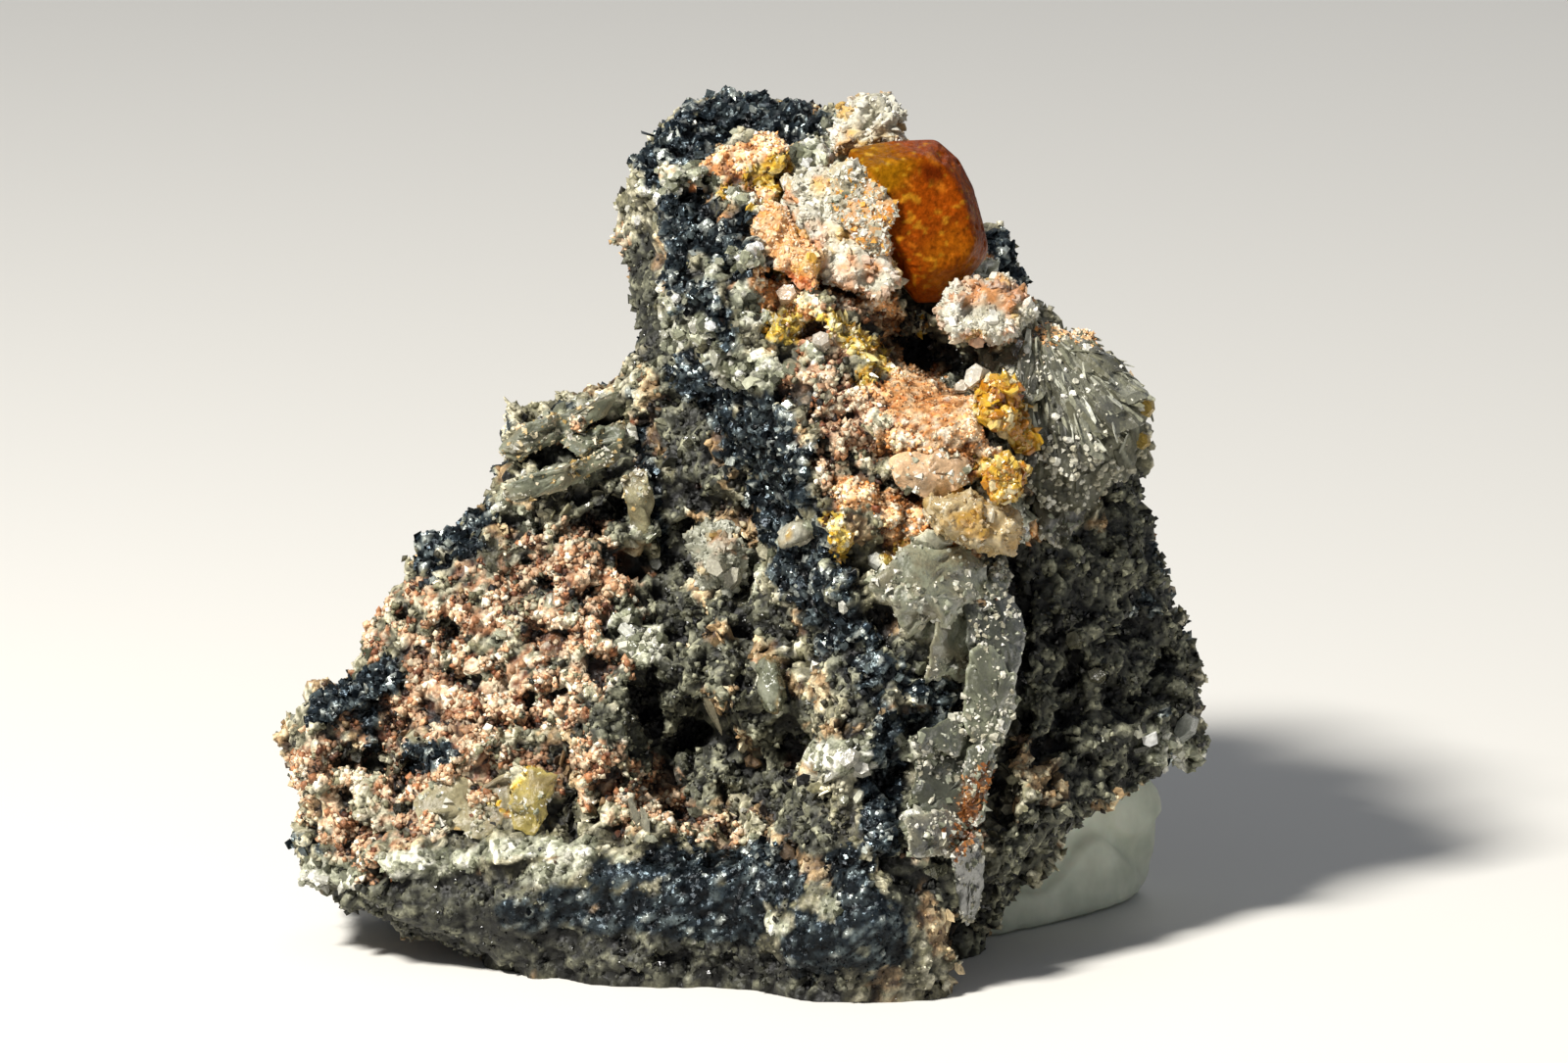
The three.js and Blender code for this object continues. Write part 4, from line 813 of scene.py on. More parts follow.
crust("salmon_crumb", np.where(kind == SALMON_ORE, 1.0, 0.0) * clump, 11600, KNOBS, 0.08, 0.26, 0.9, 0.9,
      0.6, 0.35, CRUMB, "host_rock", 201, smooth=True)
crust("apricot_sugar", np.where(kind == APRICOT_ORE, 1.0, 0.0), 5200, KNOBS, 0.06, 0.17, 1.0, 0.9, 0.6, 0.3,
      DRUSE, "peach_quartz", 205, bright=1.15, smooth=True)
crust("grey_green_crumb", on_host, 11000, KNOBS, 0.08, 0.26, 0.9, 0.9, 0.6, 0.35, CRUMB, "host_rock", 211,
      smooth=True)
crust("smoky_prisms", on_smoky + 0.02 * on_host, 2200, NEEDLE, 0.09, 0.26, 1.2, 0.7, 0.8, 0.12, CLEAR,
      "host_rock", 215)
crust("quartz_druse", np.where(kind == QUARTZ_ORE, 1.0, 0.05 * (kind == HOST)), 2700, POINT, 0.07, 0.36, 1.3,
      0.6, 0.8, 0.1, CLEAR, "clear_quartz", 221, grown=QUARTZ_ORE, bright=1.1)
in_front = patches(front, QUARTZ) * ramp(facing, -0.1, 0.3)
crust("quartz_blocks", np.where(kind == QUARTZ_ORE, in_front, 0.0), 700, TABLET, 0.12, 0.4, 0.6, 0.8, 0.7,
      0.3, DRUSE, "clear_quartz", 225, grown=QUARTZ_ORE, bright=1.15)
crust("galena_cubes", np.where(kind == GALENA_ORE, 1.0 + calm, 0.0), 5000, CUBES, 0.05, 0.16, 0.7, 0.7,
      0.4, 0.1, GALENA_FACE, "host_rock", 231, grown=GALENA_ORE, metal=0.75)
crust("galena_plates", np.where(kind == GALENA_ORE, 1.0 - calm, 0.0), 3000, CUBES, 0.1, 0.38, 0.3, 0.3,
      0.2, 0.25, GALENA_FACE, "host_rock", 235, grown=GALENA_ORE, metal=0.7)
crust("yellow_needles", np.where(kind == YELLOW_ORE, 1.0, 0.0), 1500, NEEDLE, 0.07, 0.18, 2.0, 0.6, 0.9, 0.1,
      YELLOW_FACE, "yellow_crystal", 241, grown=YELLOW_ORE)
crust("crust_leaves", on_leaves, 1300, TABLET, 0.12, 0.45, 0.14, 0.5, 0.5, 0.3, LEAF, "host_rock", 251,
      edge_on=True, bright=1.1)


# The wulfenite: one thick square tablet with worn, bevelled edges, deep orange and yellower at its
# upper left, see-through but for veils and specks inside it, and finely pitted by wear.

WULFENITE_CELL = 0.135
# Across and up in mm on the front: the yellower corner, a dark speck inside, a yellower patch low down.
YELLOW_CORNER, DARK_SPECK, LOW_PATCH = (6.6, 42.3), (9.5, 42.1), (10.6, 37.6)
# Real clouds and wear pits are too fine to show, so they are drawn this coarse: how many to a mm, and the
# relief of the pits in metres.
CLOUDS_PER_MM, PITS_PER_MM, PIT_RELIEF = 3.4, 3.5, 0.00012

tablet, tablet_faces = skin_of("wulfenite_crystal", WULFENITE_CELL, 9)
out = normals_of(tablet, tablet_faces)
place = to_front(tablet)
pit = ramp(swell(place, 0.42, 301), 0.4, 0.8) * 0.09
fine = ramp(swell(place, 0.24, 309), 0.3, 0.8) * 0.035
tablet = tablet + out * (0.06 * swell(place, 1.4, 302) - pit - fine)[:, None] * MM


def wulfenite_finish():
    """Wulfenite, worn by handling: see-through orange, cloudy inside, with a dull fine-pitted skin that
    shows little gloss. The body colour comes from the piece's own attribute, mottled."""
    finish = bpy.data.materials.new("Worn wulfenite")
    finish.use_nodes = True
    tree = finish.node_tree
    shader = tree.nodes["Principled BSDF"]
    place = add(tree, "ShaderNodeTexCoord").outputs["Object"]
    tint = add(tree, "ShaderNodeAttribute", attribute_name="tint").outputs["Color"]
    cloud = add(tree, "ShaderNodeTexNoise", {"Vector": place, "Scale": CLOUDS_PER_MM / MM, "Detail": 5.0,
                                             "Roughness": 0.65})
    shade = add(tree, "ShaderNodeMapRange", {"Value": cloud.outputs["Fac"], "From Min": 0.3, "From Max": 0.7,
                                             "To Min": 0.5, "To Max": 1.5})
    colour = add(tree, "ShaderNodeVectorMath", {0: tint, "Scale": shade.outputs[0]}, operation="SCALE")
    grit = add(tree, "ShaderNodeTexNoise", {"Vector": place, "Scale": PITS_PER_MM / MM, "Detail": 4.0})
    bump = add(tree, "ShaderNodeBump", {"Height": grit.outputs["Fac"], "Distance": PIT_RELIEF,
                                           "Strength": 0.9})
    tree.links.new(colour.outputs[0], shader.inputs["Base Color"])
    tree.links.new(bump.outputs[0], shader.inputs["Normal"])
    shader.inputs["Roughness"].default_value = 0.4
    shader.inputs["IOR"].default_value = 1.6
    shader.inputs["Specular IOR Level"].default_value = 0.1
    shader.inputs["Specular Tint"].default_value = (*linear("#d98a34"), 1)
    shader.inputs["Transmission Weight"].default_value = 0.35
    return finish


def near_to(place, centre):
    """How far each point is, in mm, from a centre given across and up on the front."""
    return np.hypot(place[:, 0] - centre[0], place[:, 2] - centre[1])


def dyed_with(colour, share, code):
    """A colour with a share of another laid over it: 1 - share of the first and share of the second."""
    return colour * (1 - share) + linear(code) * share


across, up = place[:, 0], place[:, 2]
wander = swell(place, 1.1, 304)
corner = ramp(0.8 * wander - near_to(place, YELLOW_CORNER), -2.7, -0.7)[:, None]
stain = ramp(swell(place, 0.8, 305) + 0.9 * swell(place, 0.3, 306), -0.1, 0.8)[:, None]
slanting = np.stack([across + up, place[:, 1] * 0.3, (up - across) * 0.3], 1)
veil = ramp(swell(slanting, 0.5, 307), 0.35, 0.8)[:, None]
fleck = ramp(swell(place, 0.27, 308), 0.35, 0.65)[:, None] * (0.45 + 0.55 * corner)
rim = ramp(across + 0.55 * (up - 40) + 0.2 * wander, 11.4, 12.2)[:, None]
blob = ramp(0.4 * wander - near_to(place, DARK_SPECK), -0.7, -0.3)[:, None]
low = ramp(0.6 * wander - near_to(place, LOW_PATCH), -2.2, -0.8)[:, None]
tablet_tint = dyed_with(linear("#8a3c06"), corner, "#8c5c08")
for share, code in ((0.45 * low, "#9a5e0c"), (0.45 * stain * (1 - 0.4 * corner), "#6a2a07"),
                    (0.5 * veil, "#c4741c"), (0.65 * fleck, "#d8a82c"), (0.5 * rim, "#783006"),
                    (0.8 * blob, "#4c1003")):
    tablet_tint = dyed_with(tablet_tint, share, code)
piece("wulfenite_tablet", tablet, tablet_faces, wulfenite_finish(), "wulfenite", ["wulfenite_crystal"],
      tint=tablet_tint)


# Quartz and cerussite crystals that stand out of the rock: milky and peach plates, a horn, two clear
# tablets and a sugary ball. Each has one stained, faceted core grown fast to the rock, most with small
# tablets on its faces, teeth along its rim and sugar over it.

PLATE_CELL = 0.17
MILKY = ["#a9a38b", "#c5c0a9", "#dbd7c4", "#ebe8da", "#f9f6ec"]
PEACHY = ["#dc8a40", "#eaa862", "#f1c28a", "#f6d8b0", "#faead2"]
CREAMY = ["#b3924f", "#cbac70", "#dbc494", "#e9dab6", "#f5ecd6"]
GREYISH = ["#6f6f5e", "#92927f", "#aeae9b", "#c8c8b7", "#e2e2d4"]
GREENISH = ["#5c5f4c", "#7c7f69", "#9a9d86", "#b5b7a2", "#d2d3c2"]

STANDING = [
    # made, node, slot, tints, stain, how much stain, relief, tablets, teeth, sugar, finish
    ("top_plate", "top_quartz_plate", "quartz", MILKY, "#e2a23c", 0.45, 0.8, 110, 260, 420, DRUSE),
    ("middle_plate", "middle_quartz_plate", "quartz", MILKY, "#e58a28", 0.66, 0.65, 140, 520, 900, DRUSE),
    ("peach_plate_crust", "peach_plate", "peach_quartz", PEACHY, "#e8762a", 0.65, 0.6, 40, 200, 1500, DRUSE),
    ("ledge_plate", "ledge_quartz_plate", "peach_quartz", MILKY, "#d8842e", 0.62, 0.7, 60, 420, 1300, DRUSE),
    ("horn", "horn_crystal", "quartz", CREAMY, "#e0a828", 0.45, 0.5, 20, 120, 160, CLEAR),
    ("clear_tablet", "clear_crystal", "clear_quartz", MILKY, "#c8b890", 0.2, 0.25, 0, 0, 0, CLEAR),
    ("sugar_ball", "sugar_cluster", "clear_quartz", GREYISH, "#a87444", 0.25, 1.0, 40, 420, 700, DRUSE),
    ("green_tablet", "green_clear_crystal", "clear_quartz", GREENISH, "#b08a52", 0.3, 0.25, 0, 20, 0, CLEAR),
]


def mixed(tints, number):
    """A tint for each number from 0 to 1: a row of hex colours, blended from one to the next."""
    row = np.array([linear(code) for code in tints])
    at = np.clip(number, 0, 1) * (len(row) - 1.001)
    below = at.astype(int)
    return row[below] + (row[below + 1] - row[below]) * (at - below)[:, None]


def joined(parts):
    """Joins meshes, each with its points, faces and tints, in one: the later faces' numbers move up."""
    start = np.cumsum([0] + [len(part[0]) for part in parts[:-1]])
    return (np.concatenate([part[0] for part in parts]),
            np.concatenate([part[1] + first for part, first in zip(parts, start)]),
            np.concatenate([part[2] for part in parts]))


def set_out(name, parts, finish, slot, nodes=(), smooth_faces=0):
    """Joins parts and puts them in the scene as one piece with no metal in it. The first smooth_faces
    faces, those of its core, are shaded smooth, and the small crystals' faces after them flat."""
    points, corners, colours = joined(parts)
    piece(name, points, corners, finish, slot, nodes, smooth=np.arange(len(corners)) < smooth_faces,
          tint=colours, metal=np.zeros(len(points)))


# The skins that later pieces lie on, as points on the leaning front, the rock's first.
carriers = [to_front(rock[facing > 0.1])]

for turn, (name, node, slot, tints, dye, dyed, relief, tablets, teeth, sugar, finish) in enumerate(STANDING):
    core, core_faces = skin_of(node, PLATE_CELL, 5)
    out = normals_of(core, core_faces)
    place = to_front(core)
    thin = np.linalg.eigh(np.cov(core.T))[1][:, 0]
    on_rim = 1 - np.abs(out @ thin)
    number = crumbs(place, 0.8, 311 + turn)[2]
    uneven = 0.5 * swell(place, 1.7, 315 + turn) + 0.25 * swell(place, 0.8, 316 + turn)
    faced = 1.5 * facets(place, 1.2, 361 + turn) + 0.7 * facets(place, 0.5, 371 + turn)
    push = relief * (0.2 * (number - 0.5) + 0.8 * uneven + faced) - 0.1
    core = core + out * push[:, None] * MM
    carriers.append(to_front(core))
    # Painted shade: the core and the crystals on it are darker in its hollows, where more of the stain also
    # gathers.
    hollow = ramp(-uneven, -0.1, 0.35)
    stain = ramp(0.5 * swell(place, 1.3, 331 + turn) + 0.4 * swell(place, 0.45, 335 + turn)
                 + 0.4 * (hollow - 0.5) + 0.35 * on_rim + dyed - 0.6, -0.15, 0.4)[:, None]
    shade = mixed(tints, 0.3 + 0.3 * number + 0.25 * swell(place, 0.6, 339 + turn) - 0.2 * hollow)
    golden = ramp(swell(place, 1.2, 383 + turn), 0.0, 0.4)[:, None]
    dyes = dyed_with(linear(dye), golden, "#dfae34")
    parts = [(core, core_faces, shade * (1 - 0.75 * stain) + dyes * 0.75 * stain)]
    growth = [
        # how many, crystal, half widths in mm from and to, length for width, lean, sunk, shaken, axis, where
        (tablets, TABLET, 0.12, 0.36, 0.3, 0.6, 0.6, 0.3, thin, 0.35 + 0.65 * (1 - on_rim)),
        (teeth, POINT, 0.08, 0.24, 1.5, 0.6, 0.8, 0.15, None, 0.15 + on_rim ** 2),
        (sugar, CHIPS, 0.04, 0.12, 1.0, 0.8, 0.6, 0.3, None, 0.3 + ramp(uneven, -0.2, 0.3)),
    ]
    for step, (count, crystal, low, high, ratio, lean, sunk, shaken, axis, wanted) in enumerate(growth):
        if not count:
            continue
        more, numbers, under = seeded(core, core_faces, wanted, count, crystal, low, high, ratio, lean, sunk,
                                      shaken, 341 + turn * 20 + step * 5, axis)
        dice = np.random.default_rng(351 + turn * 20 + step)
        share = stain[under] * (0.35 + 0.5 * dice.random((len(under), 1)))
        own = mixed(tints, 0.25 + 0.75 * dice.random(len(under))) * (1 - share) + dyes[under] * share
        # Painted shade in the core's hollows.
        own = own * (1 - 0.25 * hollow[under])[:, None]
        parts.append((more, numbers, np.repeat(own, len(crystal[0]), axis=0)))
    set_out(name, parts, finish, slot, [node], len(core_faces))


# The curtain: thin grey-green plates one below another down the rock's edge, grown fast to it and to each
# other, thinnest at their scalloped rims, with white sugar in patches and most on the left, a rusty streak
# low down, and one more plate below the fan.

CURTAIN_CELL = 0.22
# The whole curtain is this much darker than its tints.
CURTAIN_LIGHT = 0.75
PLATES = [
    # outline of each plate across and up in mm on the leaning front, how far it stands out, tint
    ([(12.1, 21.3), (13.2, 22.9), (13.6, 21.8), (13.4, 20.6), (12.4, 20.5)], 0.3, "#747762"),
    ([(11.0, 20.4), (12.2, 21.2), (13.4, 20.6), (14.1, 19.4), (14.25, 18), (13.9, 16.8), (12.9, 16.4),
      (11.4, 17.2)], 0.25, "#54574a"),
    ([(11.3, 18.0), (12.4, 18.3), (13.4, 17.0), (13.9, 16.8), (13.75, 16), (13.95, 15.4), (13.6, 14.6),
      (13.2, 13.6), (12.6, 12.7), (12.4, 11.8), (11.6, 12.4), (11.2, 15)], 0.45, "#868971"),
    ([(11.3, 13), (12.3, 13.2), (12.6, 12.4), (12.45, 11.2), (12.2, 10.4), (12.15, 9.4), (11.6, 9.0),
      (11.0, 10.6)], 0.35, "#777a65"),
    ([(8.3, 13.6), (10.0, 14.7), (11.5, 14.9), (11.6, 13.6), (10.8, 12.4), (9.8, 12.9), (9, 12.6)], 0.3,
     "#71745e"),
    ([(8.6, 12.5), (11.0, 12.7), (11.9, 11.6), (11.6, 9.4), (10, 9), (8.6, 9.8)], 0.05, "#626553"),
    ([(8.0, 9.5), (10.2, 9.9), (11.3, 8.8), (10.2, 7.6), (8.4, 7.8)], 0.15, "#9c9881"),
    ([(10.4, 7.8), (11.8, 8.8), (12.2, 7.2), (12.1, 5.4), (11.3, 4.0), (10.6, 5.6)], 0.1, "#52554a"),
    ([(14.6, 26), (16.2, 26.2), (17.8, 26.6), (17.5, 24.6), (16.2, 23), (15, 23.6)], 0.0, "#857f66"),
]


def leaf(outline, lift, thickness, seed, carrier, steps=72, rings=8, wavy=1.0):
    """A thin plate from an outline: the distance from its middle to the rim is a closed function of the
    turn, with small scallops, and the plate is that times a second parameter from 0 at its middle to 1 at
    its rim. It lies in the plane that best fits the skin under it, lifted and wavy, and thins at its rim."""
    corners = np.array(outline)
    middle = corners.mean(0)
    loop = np.concatenate([corners, corners[:1]])
    walked = np.r_[0, np.cumsum(np.linalg.norm(np.diff(loop, axis=0), axis=1))]
    along = np.arange(steps) / steps * walked[-1]
    rim = np.stack([np.interp(along, walked, loop[:, k]) for k in range(2)], 1)
    rim = (np.roll(rim, 1, 0) + 2 * rim + np.roll(rim, -1, 0)) / 4
    reach = rim - middle
    at = np.c_[rim, np.zeros(steps)]
    tooth = 0.2 * swell(at, 1.1, seed) + 0.12 * swell(at, 0.45, seed) + 0.07 * swell(at, 0.2, seed)
    rim = middle + reach * (1 + tooth / np.linalg.norm(reach, axis=1))[:, None]
    share = np.repeat((np.arange(rings) / (rings - 1)) ** 0.7, steps)
    flat = middle + np.tile(rim - middle, (rings, 1)) * share[:, None]
    tried = flat[::7]
    away = np.linalg.norm(carrier[:, None, [0, 2]] - tried[None], axis=2)
    under = np.where(away < 0.4, carrier[:, 1:2], 99.0).min(0)
    under = np.where(under > 90, carrier[away.argmin(0), 1], under)
    plane = np.linalg.lstsq(np.c_[tried, np.ones(len(tried))], under, rcond=None)[0]
    plane[2] += np.percentile(under - tried @ plane[:2] - plane[2], 40)
    spot = np.stack([flat[:, 0], flat @ plane[:2] + plane[2] - lift, flat[:, 1]], -1)
    wave = wavy * (0.22 * swell(spot, 1.5, seed + 2) + 0.1 * swell(spot, 0.6, seed + 3)
                   + 0.6 * facets(spot, 1.2, seed + 4))
    wedge = 1 - share ** 5
    ahead, behind = spot.copy(), spot.copy()
    ahead[:, 1] += wave - thickness * wedge - 0.03
    behind[:, 1] += wave + (thickness + 0.6) * wedge + 0.05
    ring = np.arange(rings - 1)[:, None] * steps
    i, j = np.arange(steps)[None], (np.arange(steps)[None] + 1) % steps
    a, b, c, d = (x.ravel() for x in (ring + i, ring + j, ring + steps + j, ring + steps + i))
    face = np.concatenate([np.c_[a, d, c], np.c_[a, c, b]])
    last = (rings - 1) * steps
    i, j = i.ravel() + last, j.ravel() + last
    wall = np.concatenate([np.c_[i, i + len(spot), j + len(spot)], np.c_[i, j + len(spot), j]])
    points = np.concatenate([ahead, behind])
    faces = np.concatenate([face, face[:, ::-1] + len(spot), wall])
    # The innermost ring of each side is one point, and the faces that it leaves with no area go.
    pole = np.arange(len(points))
    pole[:steps], pole[len(spot):len(spot) + steps] = 0, len(spot)
    faces = pole[faces]
    a, b, c = faces.T
    kept, faces = np.unique(faces[(a != b) & (b != c) & (c != a)], return_inverse=True)
    points = points[kept]
    return from_front(points[:, 0], points[:, 1], points[:, 2]), faces.reshape(-1, 3), np.tile(share, 2)[kept]


def sprinkled(base, base_faces, rows, seed):
    """Small crystals grown over plates, a mesh for each row: how many, which crystal, how thickly it
    grows at each point of the plates, and its tints."""
    made = []
    for step, (count, crystal, wanted, row) in enumerate(rows):
        more, numbers, under = seeded(base, base_faces, wanted + 0.001, count, crystal, 0.05, 0.2, 1.1, 0.8,
                                      0.6, 0.3, seed + 5 * step)
        own = mixed(row, np.random.default_rng(seed + 10 + step).random(len(under)))
        made.append((more, numbers, np.repeat(own, len(crystal[0]), axis=0)))
    return made


curtain, curtain_faces = skin_of("curtain_plate", CURTAIN_CELL, 3)
carrier = to_front(np.concatenate([rock[facing > 0.2], curtain]))
carriers.append(to_front(curtain))
carrier = carrier[(carrier[:, 0] > 6) & (carrier[:, 0] < 18.5) & (carrier[:, 2] < 28)]
out = normals_of(curtain, curtain_faces)
place = to_front(curtain)
curtain = curtain + out * (0.12 * swell(place, 0.8, 451) - 0.25)[:, None] * MM
parts = [(curtain, curtain_faces, mixed(GREENISH, 0.3 + 0.4 * crumbs(place, 0.6, 452)[2]))]
for turn, (outline, lift, tint) in enumerate(PLATES):
    points, corners, share = leaf(outline, lift, 0.2, 461 + 5 * turn, carrier)
    place = to_front(points)
    # Painted highlight: each plate is lighter at its rim.
    mottle = (0.7 + 0.15 * crumbs(place, 0.6, 455)[2] + 0.45 * swell(place, 1.0, 456)
              + 0.9 * ramp(share, 0.9, 1))
    parts.append((points, corners, linear(tint) * mottle[:, None]))
base, base_faces, base_tint = joined(parts)
place = to_front(base)
white = ramp(swell(place, 1.0, 457) + 0.3 * ramp(12.6 - place[:, 0], 0, 1), 0.0, 0.5)
rust = ramp(0.5 * swell(place, 0.6, 458) - np.abs(place[:, 0] - 11.7 + 0.25 * (11 - place[:, 2])), -0.9, 0)
rust = rust * ramp(place[:, 2], 7.4, 8.4) * ramp(12.4 - place[:, 2], 0, 0.8)
rust = np.maximum(rust, ramp(place[:, 2], 25.6, 26.2))
murk = ramp(swell(place, 0.9, 459) + 0.5 * swell(place, 0.35, 460), -0.2, 0.7)[:, None]
base_tint = CURTAIN_LIGHT * dyed_with(base_tint, 0.55 * murk, "#3f4034")
base_tint = dyed_with(base_tint, 0.7 * rust[:, None], "#8a5630")
crystals = sprinkled(base, base_faces, (
    (1100, CHIPS, white, MILKY), (1100, CHIPS, rust, ["#5f3414", "#a0602a", "#c9945c"]),
    (350, CHIPS, np.ones(len(base)), GREENISH), (420, POINT, white, MILKY),
    (160, TABLET, 0.2 + white, GREENISH)), 471)
set_out("curtain", [(base, base_faces, base_tint), *crystals], DRUSE, "clear_quartz", ["curtain_plate"],
        len(base_faces))


# Quartz sheets: sheets and blocks that break out through the crumb, beside the curtain, under the orange
# mound, along the ledge and low on the left, each grown fast to the rock under it. One more is grown fast
# to the middle plate and laps over the left of the wulfenite.

SHEETS = [
    # outline of each sheet across and up in mm on the leaning front, how far it stands out, thickness, tint
    ([(6.2, 21.2), (7.2, 22.2), (8, 23.4), (9.8, 22.8), (11, 23.3), (12.3, 22.2), (12.2, 20.6), (10.8, 20.3),
      (10.2, 18.9), (8.8, 19.8), (7.4, 19.4), (7.4, 20.6)], 0.0, 0.5, "#8e917a"),
    ([(9.6, 19.6), (11.8, 19.9), (12.5, 18.2), (11.6, 17.6), (11.5, 16.2), (10.2, 16.8), (9, 16.2),
      (9.2, 17.8)], 0.05, 0.4, "#878a72"),
    ([(7.4, 20.6), (8.4, 21.8), (9.6, 21), (10.9, 21.3), (10.5, 19.8), (9.2, 19.3), (8.2, 18.6)], 0.25, 0.4,
     "#a2a48b"),
    ([(8.2, 23.6), (9.4, 24.3), (10.6, 23.4), (9.4, 22.5)], 0.25, 0.3, "#b0af98"),
    ([(7.2, 27.8), (9, 28.2), (11.2, 27.6), (11.4, 26.2), (9.6, 25.6), (7.6, 26.2)], 0.15, 0.35, "#d8b48c"),
    ([(-12.8, 28.2), (-11.4, 29.4), (-9, 30.2), (-6.6, 31.2), (-7, 30), (-9.4, 28.8),
      (-11.8, 27.6)], 0.3, 0.3, "#7a7d68"),
    ([(-12.6, 26.2), (-10.6, 27), (-8, 27.8), (-6.2, 28.8), (-6.4, 27.6), (-8.8, 26.4), (-11.6, 25.4)], 0.3,
     0.3, "#82856e"),
    ([(-9.6, 28.6), (-7.6, 29.4), (-5.8, 29.8), (-6.2, 28.8), (-8.4, 27.8)], 0.35, 0.25, "#6c705c"),
    ([(-16.8, 10.6), (-15, 11.8), (-13.4, 11), (-11.8, 11.9), (-12, 9.4), (-13.4, 8.2), (-14.6, 8.9),
      (-16.2, 8.6)], -0.2, 0.15, "#a39a78"),
    ([(-11.9, 10.2), (-10.9, 12), (-9.4, 11.7), (-9.9, 9.6), (-10.6, 8.6), (-11.7, 9)], -0.1, 0.15,
     "#a8974f"),
    ([(-6.2, 26.6), (-5.2, 27.1), (-4.7, 25.6), (-4.9, 24), (-5.6, 23.6), (-6.1, 25)], 0.35, 0.2, "#9b9470"),
    ([(4.4, 42.6), (5.6, 42.9), (6.6, 42.2), (7.1, 41.2), (7.9, 40.7), (7.8, 39.7), (7.2, 39.2), (7.5, 38.2),
      (6.3, 38), (5.2, 39.2), (4.2, 40.6)], 0.2, 0.3, "#b4ab8e"),
]

# They lie on the rock, the top and middle plates and the wulfenite.
carrier = np.concatenate([*carriers[:3], to_front(tablet)])
parts = []
for turn, (outline, lift, thickness, tint) in enumerate(SHEETS):
    points, corners, share = leaf(outline, lift, thickness, 801 + 5 * turn, carrier, steps=44, rings=6,
                                  wavy=1.6)
    place = to_front(points)
    # Painted highlight: each sheet is lighter at its rim.
    mottle = (0.8 + 0.15 * crumbs(place, 0.5, 861)[2] + 0.4 * swell(place, 1.1, 862)
              + 0.2 * swell(place, 0.4, 864) + 0.5 * ramp(share, 0.9, 1))
    parts.append((points, corners, linear(tint) * mottle[:, None]))
base, base_faces, base_tint = joined(parts)
place = to_front(base)
clear_of = ramp(swell(place, 0.9, 863), -0.2, 0.3)
tan = ramp(swell(place, 0.8, 865) + 0.5 * swell(place, 0.3, 866), -0.1, 0.6)[:, None]
lapping = ramp(place[:, 2], 37, 37.6)
on_ledge = ramp(place[:, 2], 24.5, 25.5) * (1 - lapping) * ramp(-place[:, 0], 4, 5)
tan = tan * (1 - 0.7 * lapping[:, None])
base_tint = dyed_with(base_tint, 0.5 * tan, "#6e5c40")
golden = 0.6 * (ramp(swell(place, 0.9, 867), -0.1, 0.5) * lapping)[:, None]
base_tint = dyed_with(base_tint, golden, "#d98e30")
crystals = sprinkled(base, base_faces, (
    (1200, CHIPS, clear_of, MILKY), (240, POINT, clear_of, GREENISH), (110, TABLET, clear_of, GREENISH),
    (800, CHIPS, lapping, MILKY), (120, POINT, lapping, MILKY),
    (300, CHIPS, lapping, ["#e8a23c", "#f0bc5a", "#e58a38"]), (400, CHIPS, on_ledge, CREAMY)), 871)
set_out("quartz_sheets", [(base, base_faces, base_tint), *crystals], DRUSE, "quartz",
        smooth_faces=len(base_faces))


# The yellow clusters: two tight groups of chunky yellow crystals on the rim of the orange mound, with
# cream tips and hollows between them painted darker in shade, each group grown from one core that is fast to
# the rock.

CLUSTER_CELL = 0.2
SULPHUR = ["#6a3206", "#a85e0a", "#cc840e", "#dea018", "#e6b428", "#ecc850", "#f2e2b0"]

for turn, (name, node) in enumerate((("upper_yellow_spray", "yellow_crystals_upper"),
                                     ("lower_yellow_spray", "yellow_crystals_lower"))):
    core, core_faces = skin_of(node, CLUSTER_CELL, 4)
    out = normals_of(core, core_faces)
    place = to_front(core)
    hollow = ramp(swell(place, 0.9, 401 + turn), 0.1, 0.7)
    core = core + out * (0.9 * swell(place, 1.3, 403 + turn) - 0.9 * hollow - 0.2)[:, None] * MM
    carriers.append(to_front(core))
    # Painted shade: the core and its crystals are darker in its hollows.
    parts = [(core, core_faces, mixed(SULPHUR, 0.45 - 0.4 * hollow + 0.2 * crumbs(place, 0.4, 441)[2]))]
    for step, (count, crystal, low, high, ratio, lean, sunk) in enumerate((
            (220, POINT, 0.1, 0.3, 1.5, 0.8, 0.8), (300, TABLET, 0.12, 0.42, 0.22, 1.2, 0.4),
            (600, CHIPS, 0.05, 0.16, 1.0, 0.9, 0.5))):
        more, numbers, under = seeded(core, core_faces, 1.2 - hollow, count, crystal, low, high, ratio, lean,
                                      sunk, 0.15, 411 + 30 * turn + 5 * step)
        dice = np.random.default_rng(421 + 10 * turn + step)
        own = mixed(SULPHUR, 0.75 * dice.random(len(under)) ** 1.3 + 0.3 - 0.35 * hollow[under])
        parts.append((more, numbers, np.repeat(own, len(crystal[0]), axis=0)))
    set_out(name, parts, YELLOW_FACE, "yellow_crystal", [node])


# The grey fan: long thin blades of cerussite that run down and right from one root at its upper left,
# grey and half clear, with a peach crust at the top and white sugar on its lower front.

FAN_CELL = 0.2
# Where its blades meet: across, deep and up in mm on the leaning front.
FAN_ROOT = np.array([14.4, 0.0, 35.2])
FAN_LOBE = [(12.1, 32.9), (13, 33.8), (14.3, 33.9), (15.4, 33.4), (15.6, 32.2), (15.2, 30.9), (13.8, 30.5),
            (12.6, 31.3)]
FAN_BLADES = 18
# The blades are this much darker than their tints.
BLADE_LIGHT = 0.68
CERUSSITE = ["#33322a", "#4c4b3a", "#696751", "#83826b", "#a1a18c", "#c8c9bb"]

# Cerussite grown in blades: streaked grey faces with a broad sheen, and some light goes in.
GREY_BLADE = crumbly_finish("Grey cerussite blades", 0.52, 0.3, 0.2, mottle=0.6, Transmission_Weight=0.3,
                            IOR=1.6, Specular_IOR_Level=0.25)

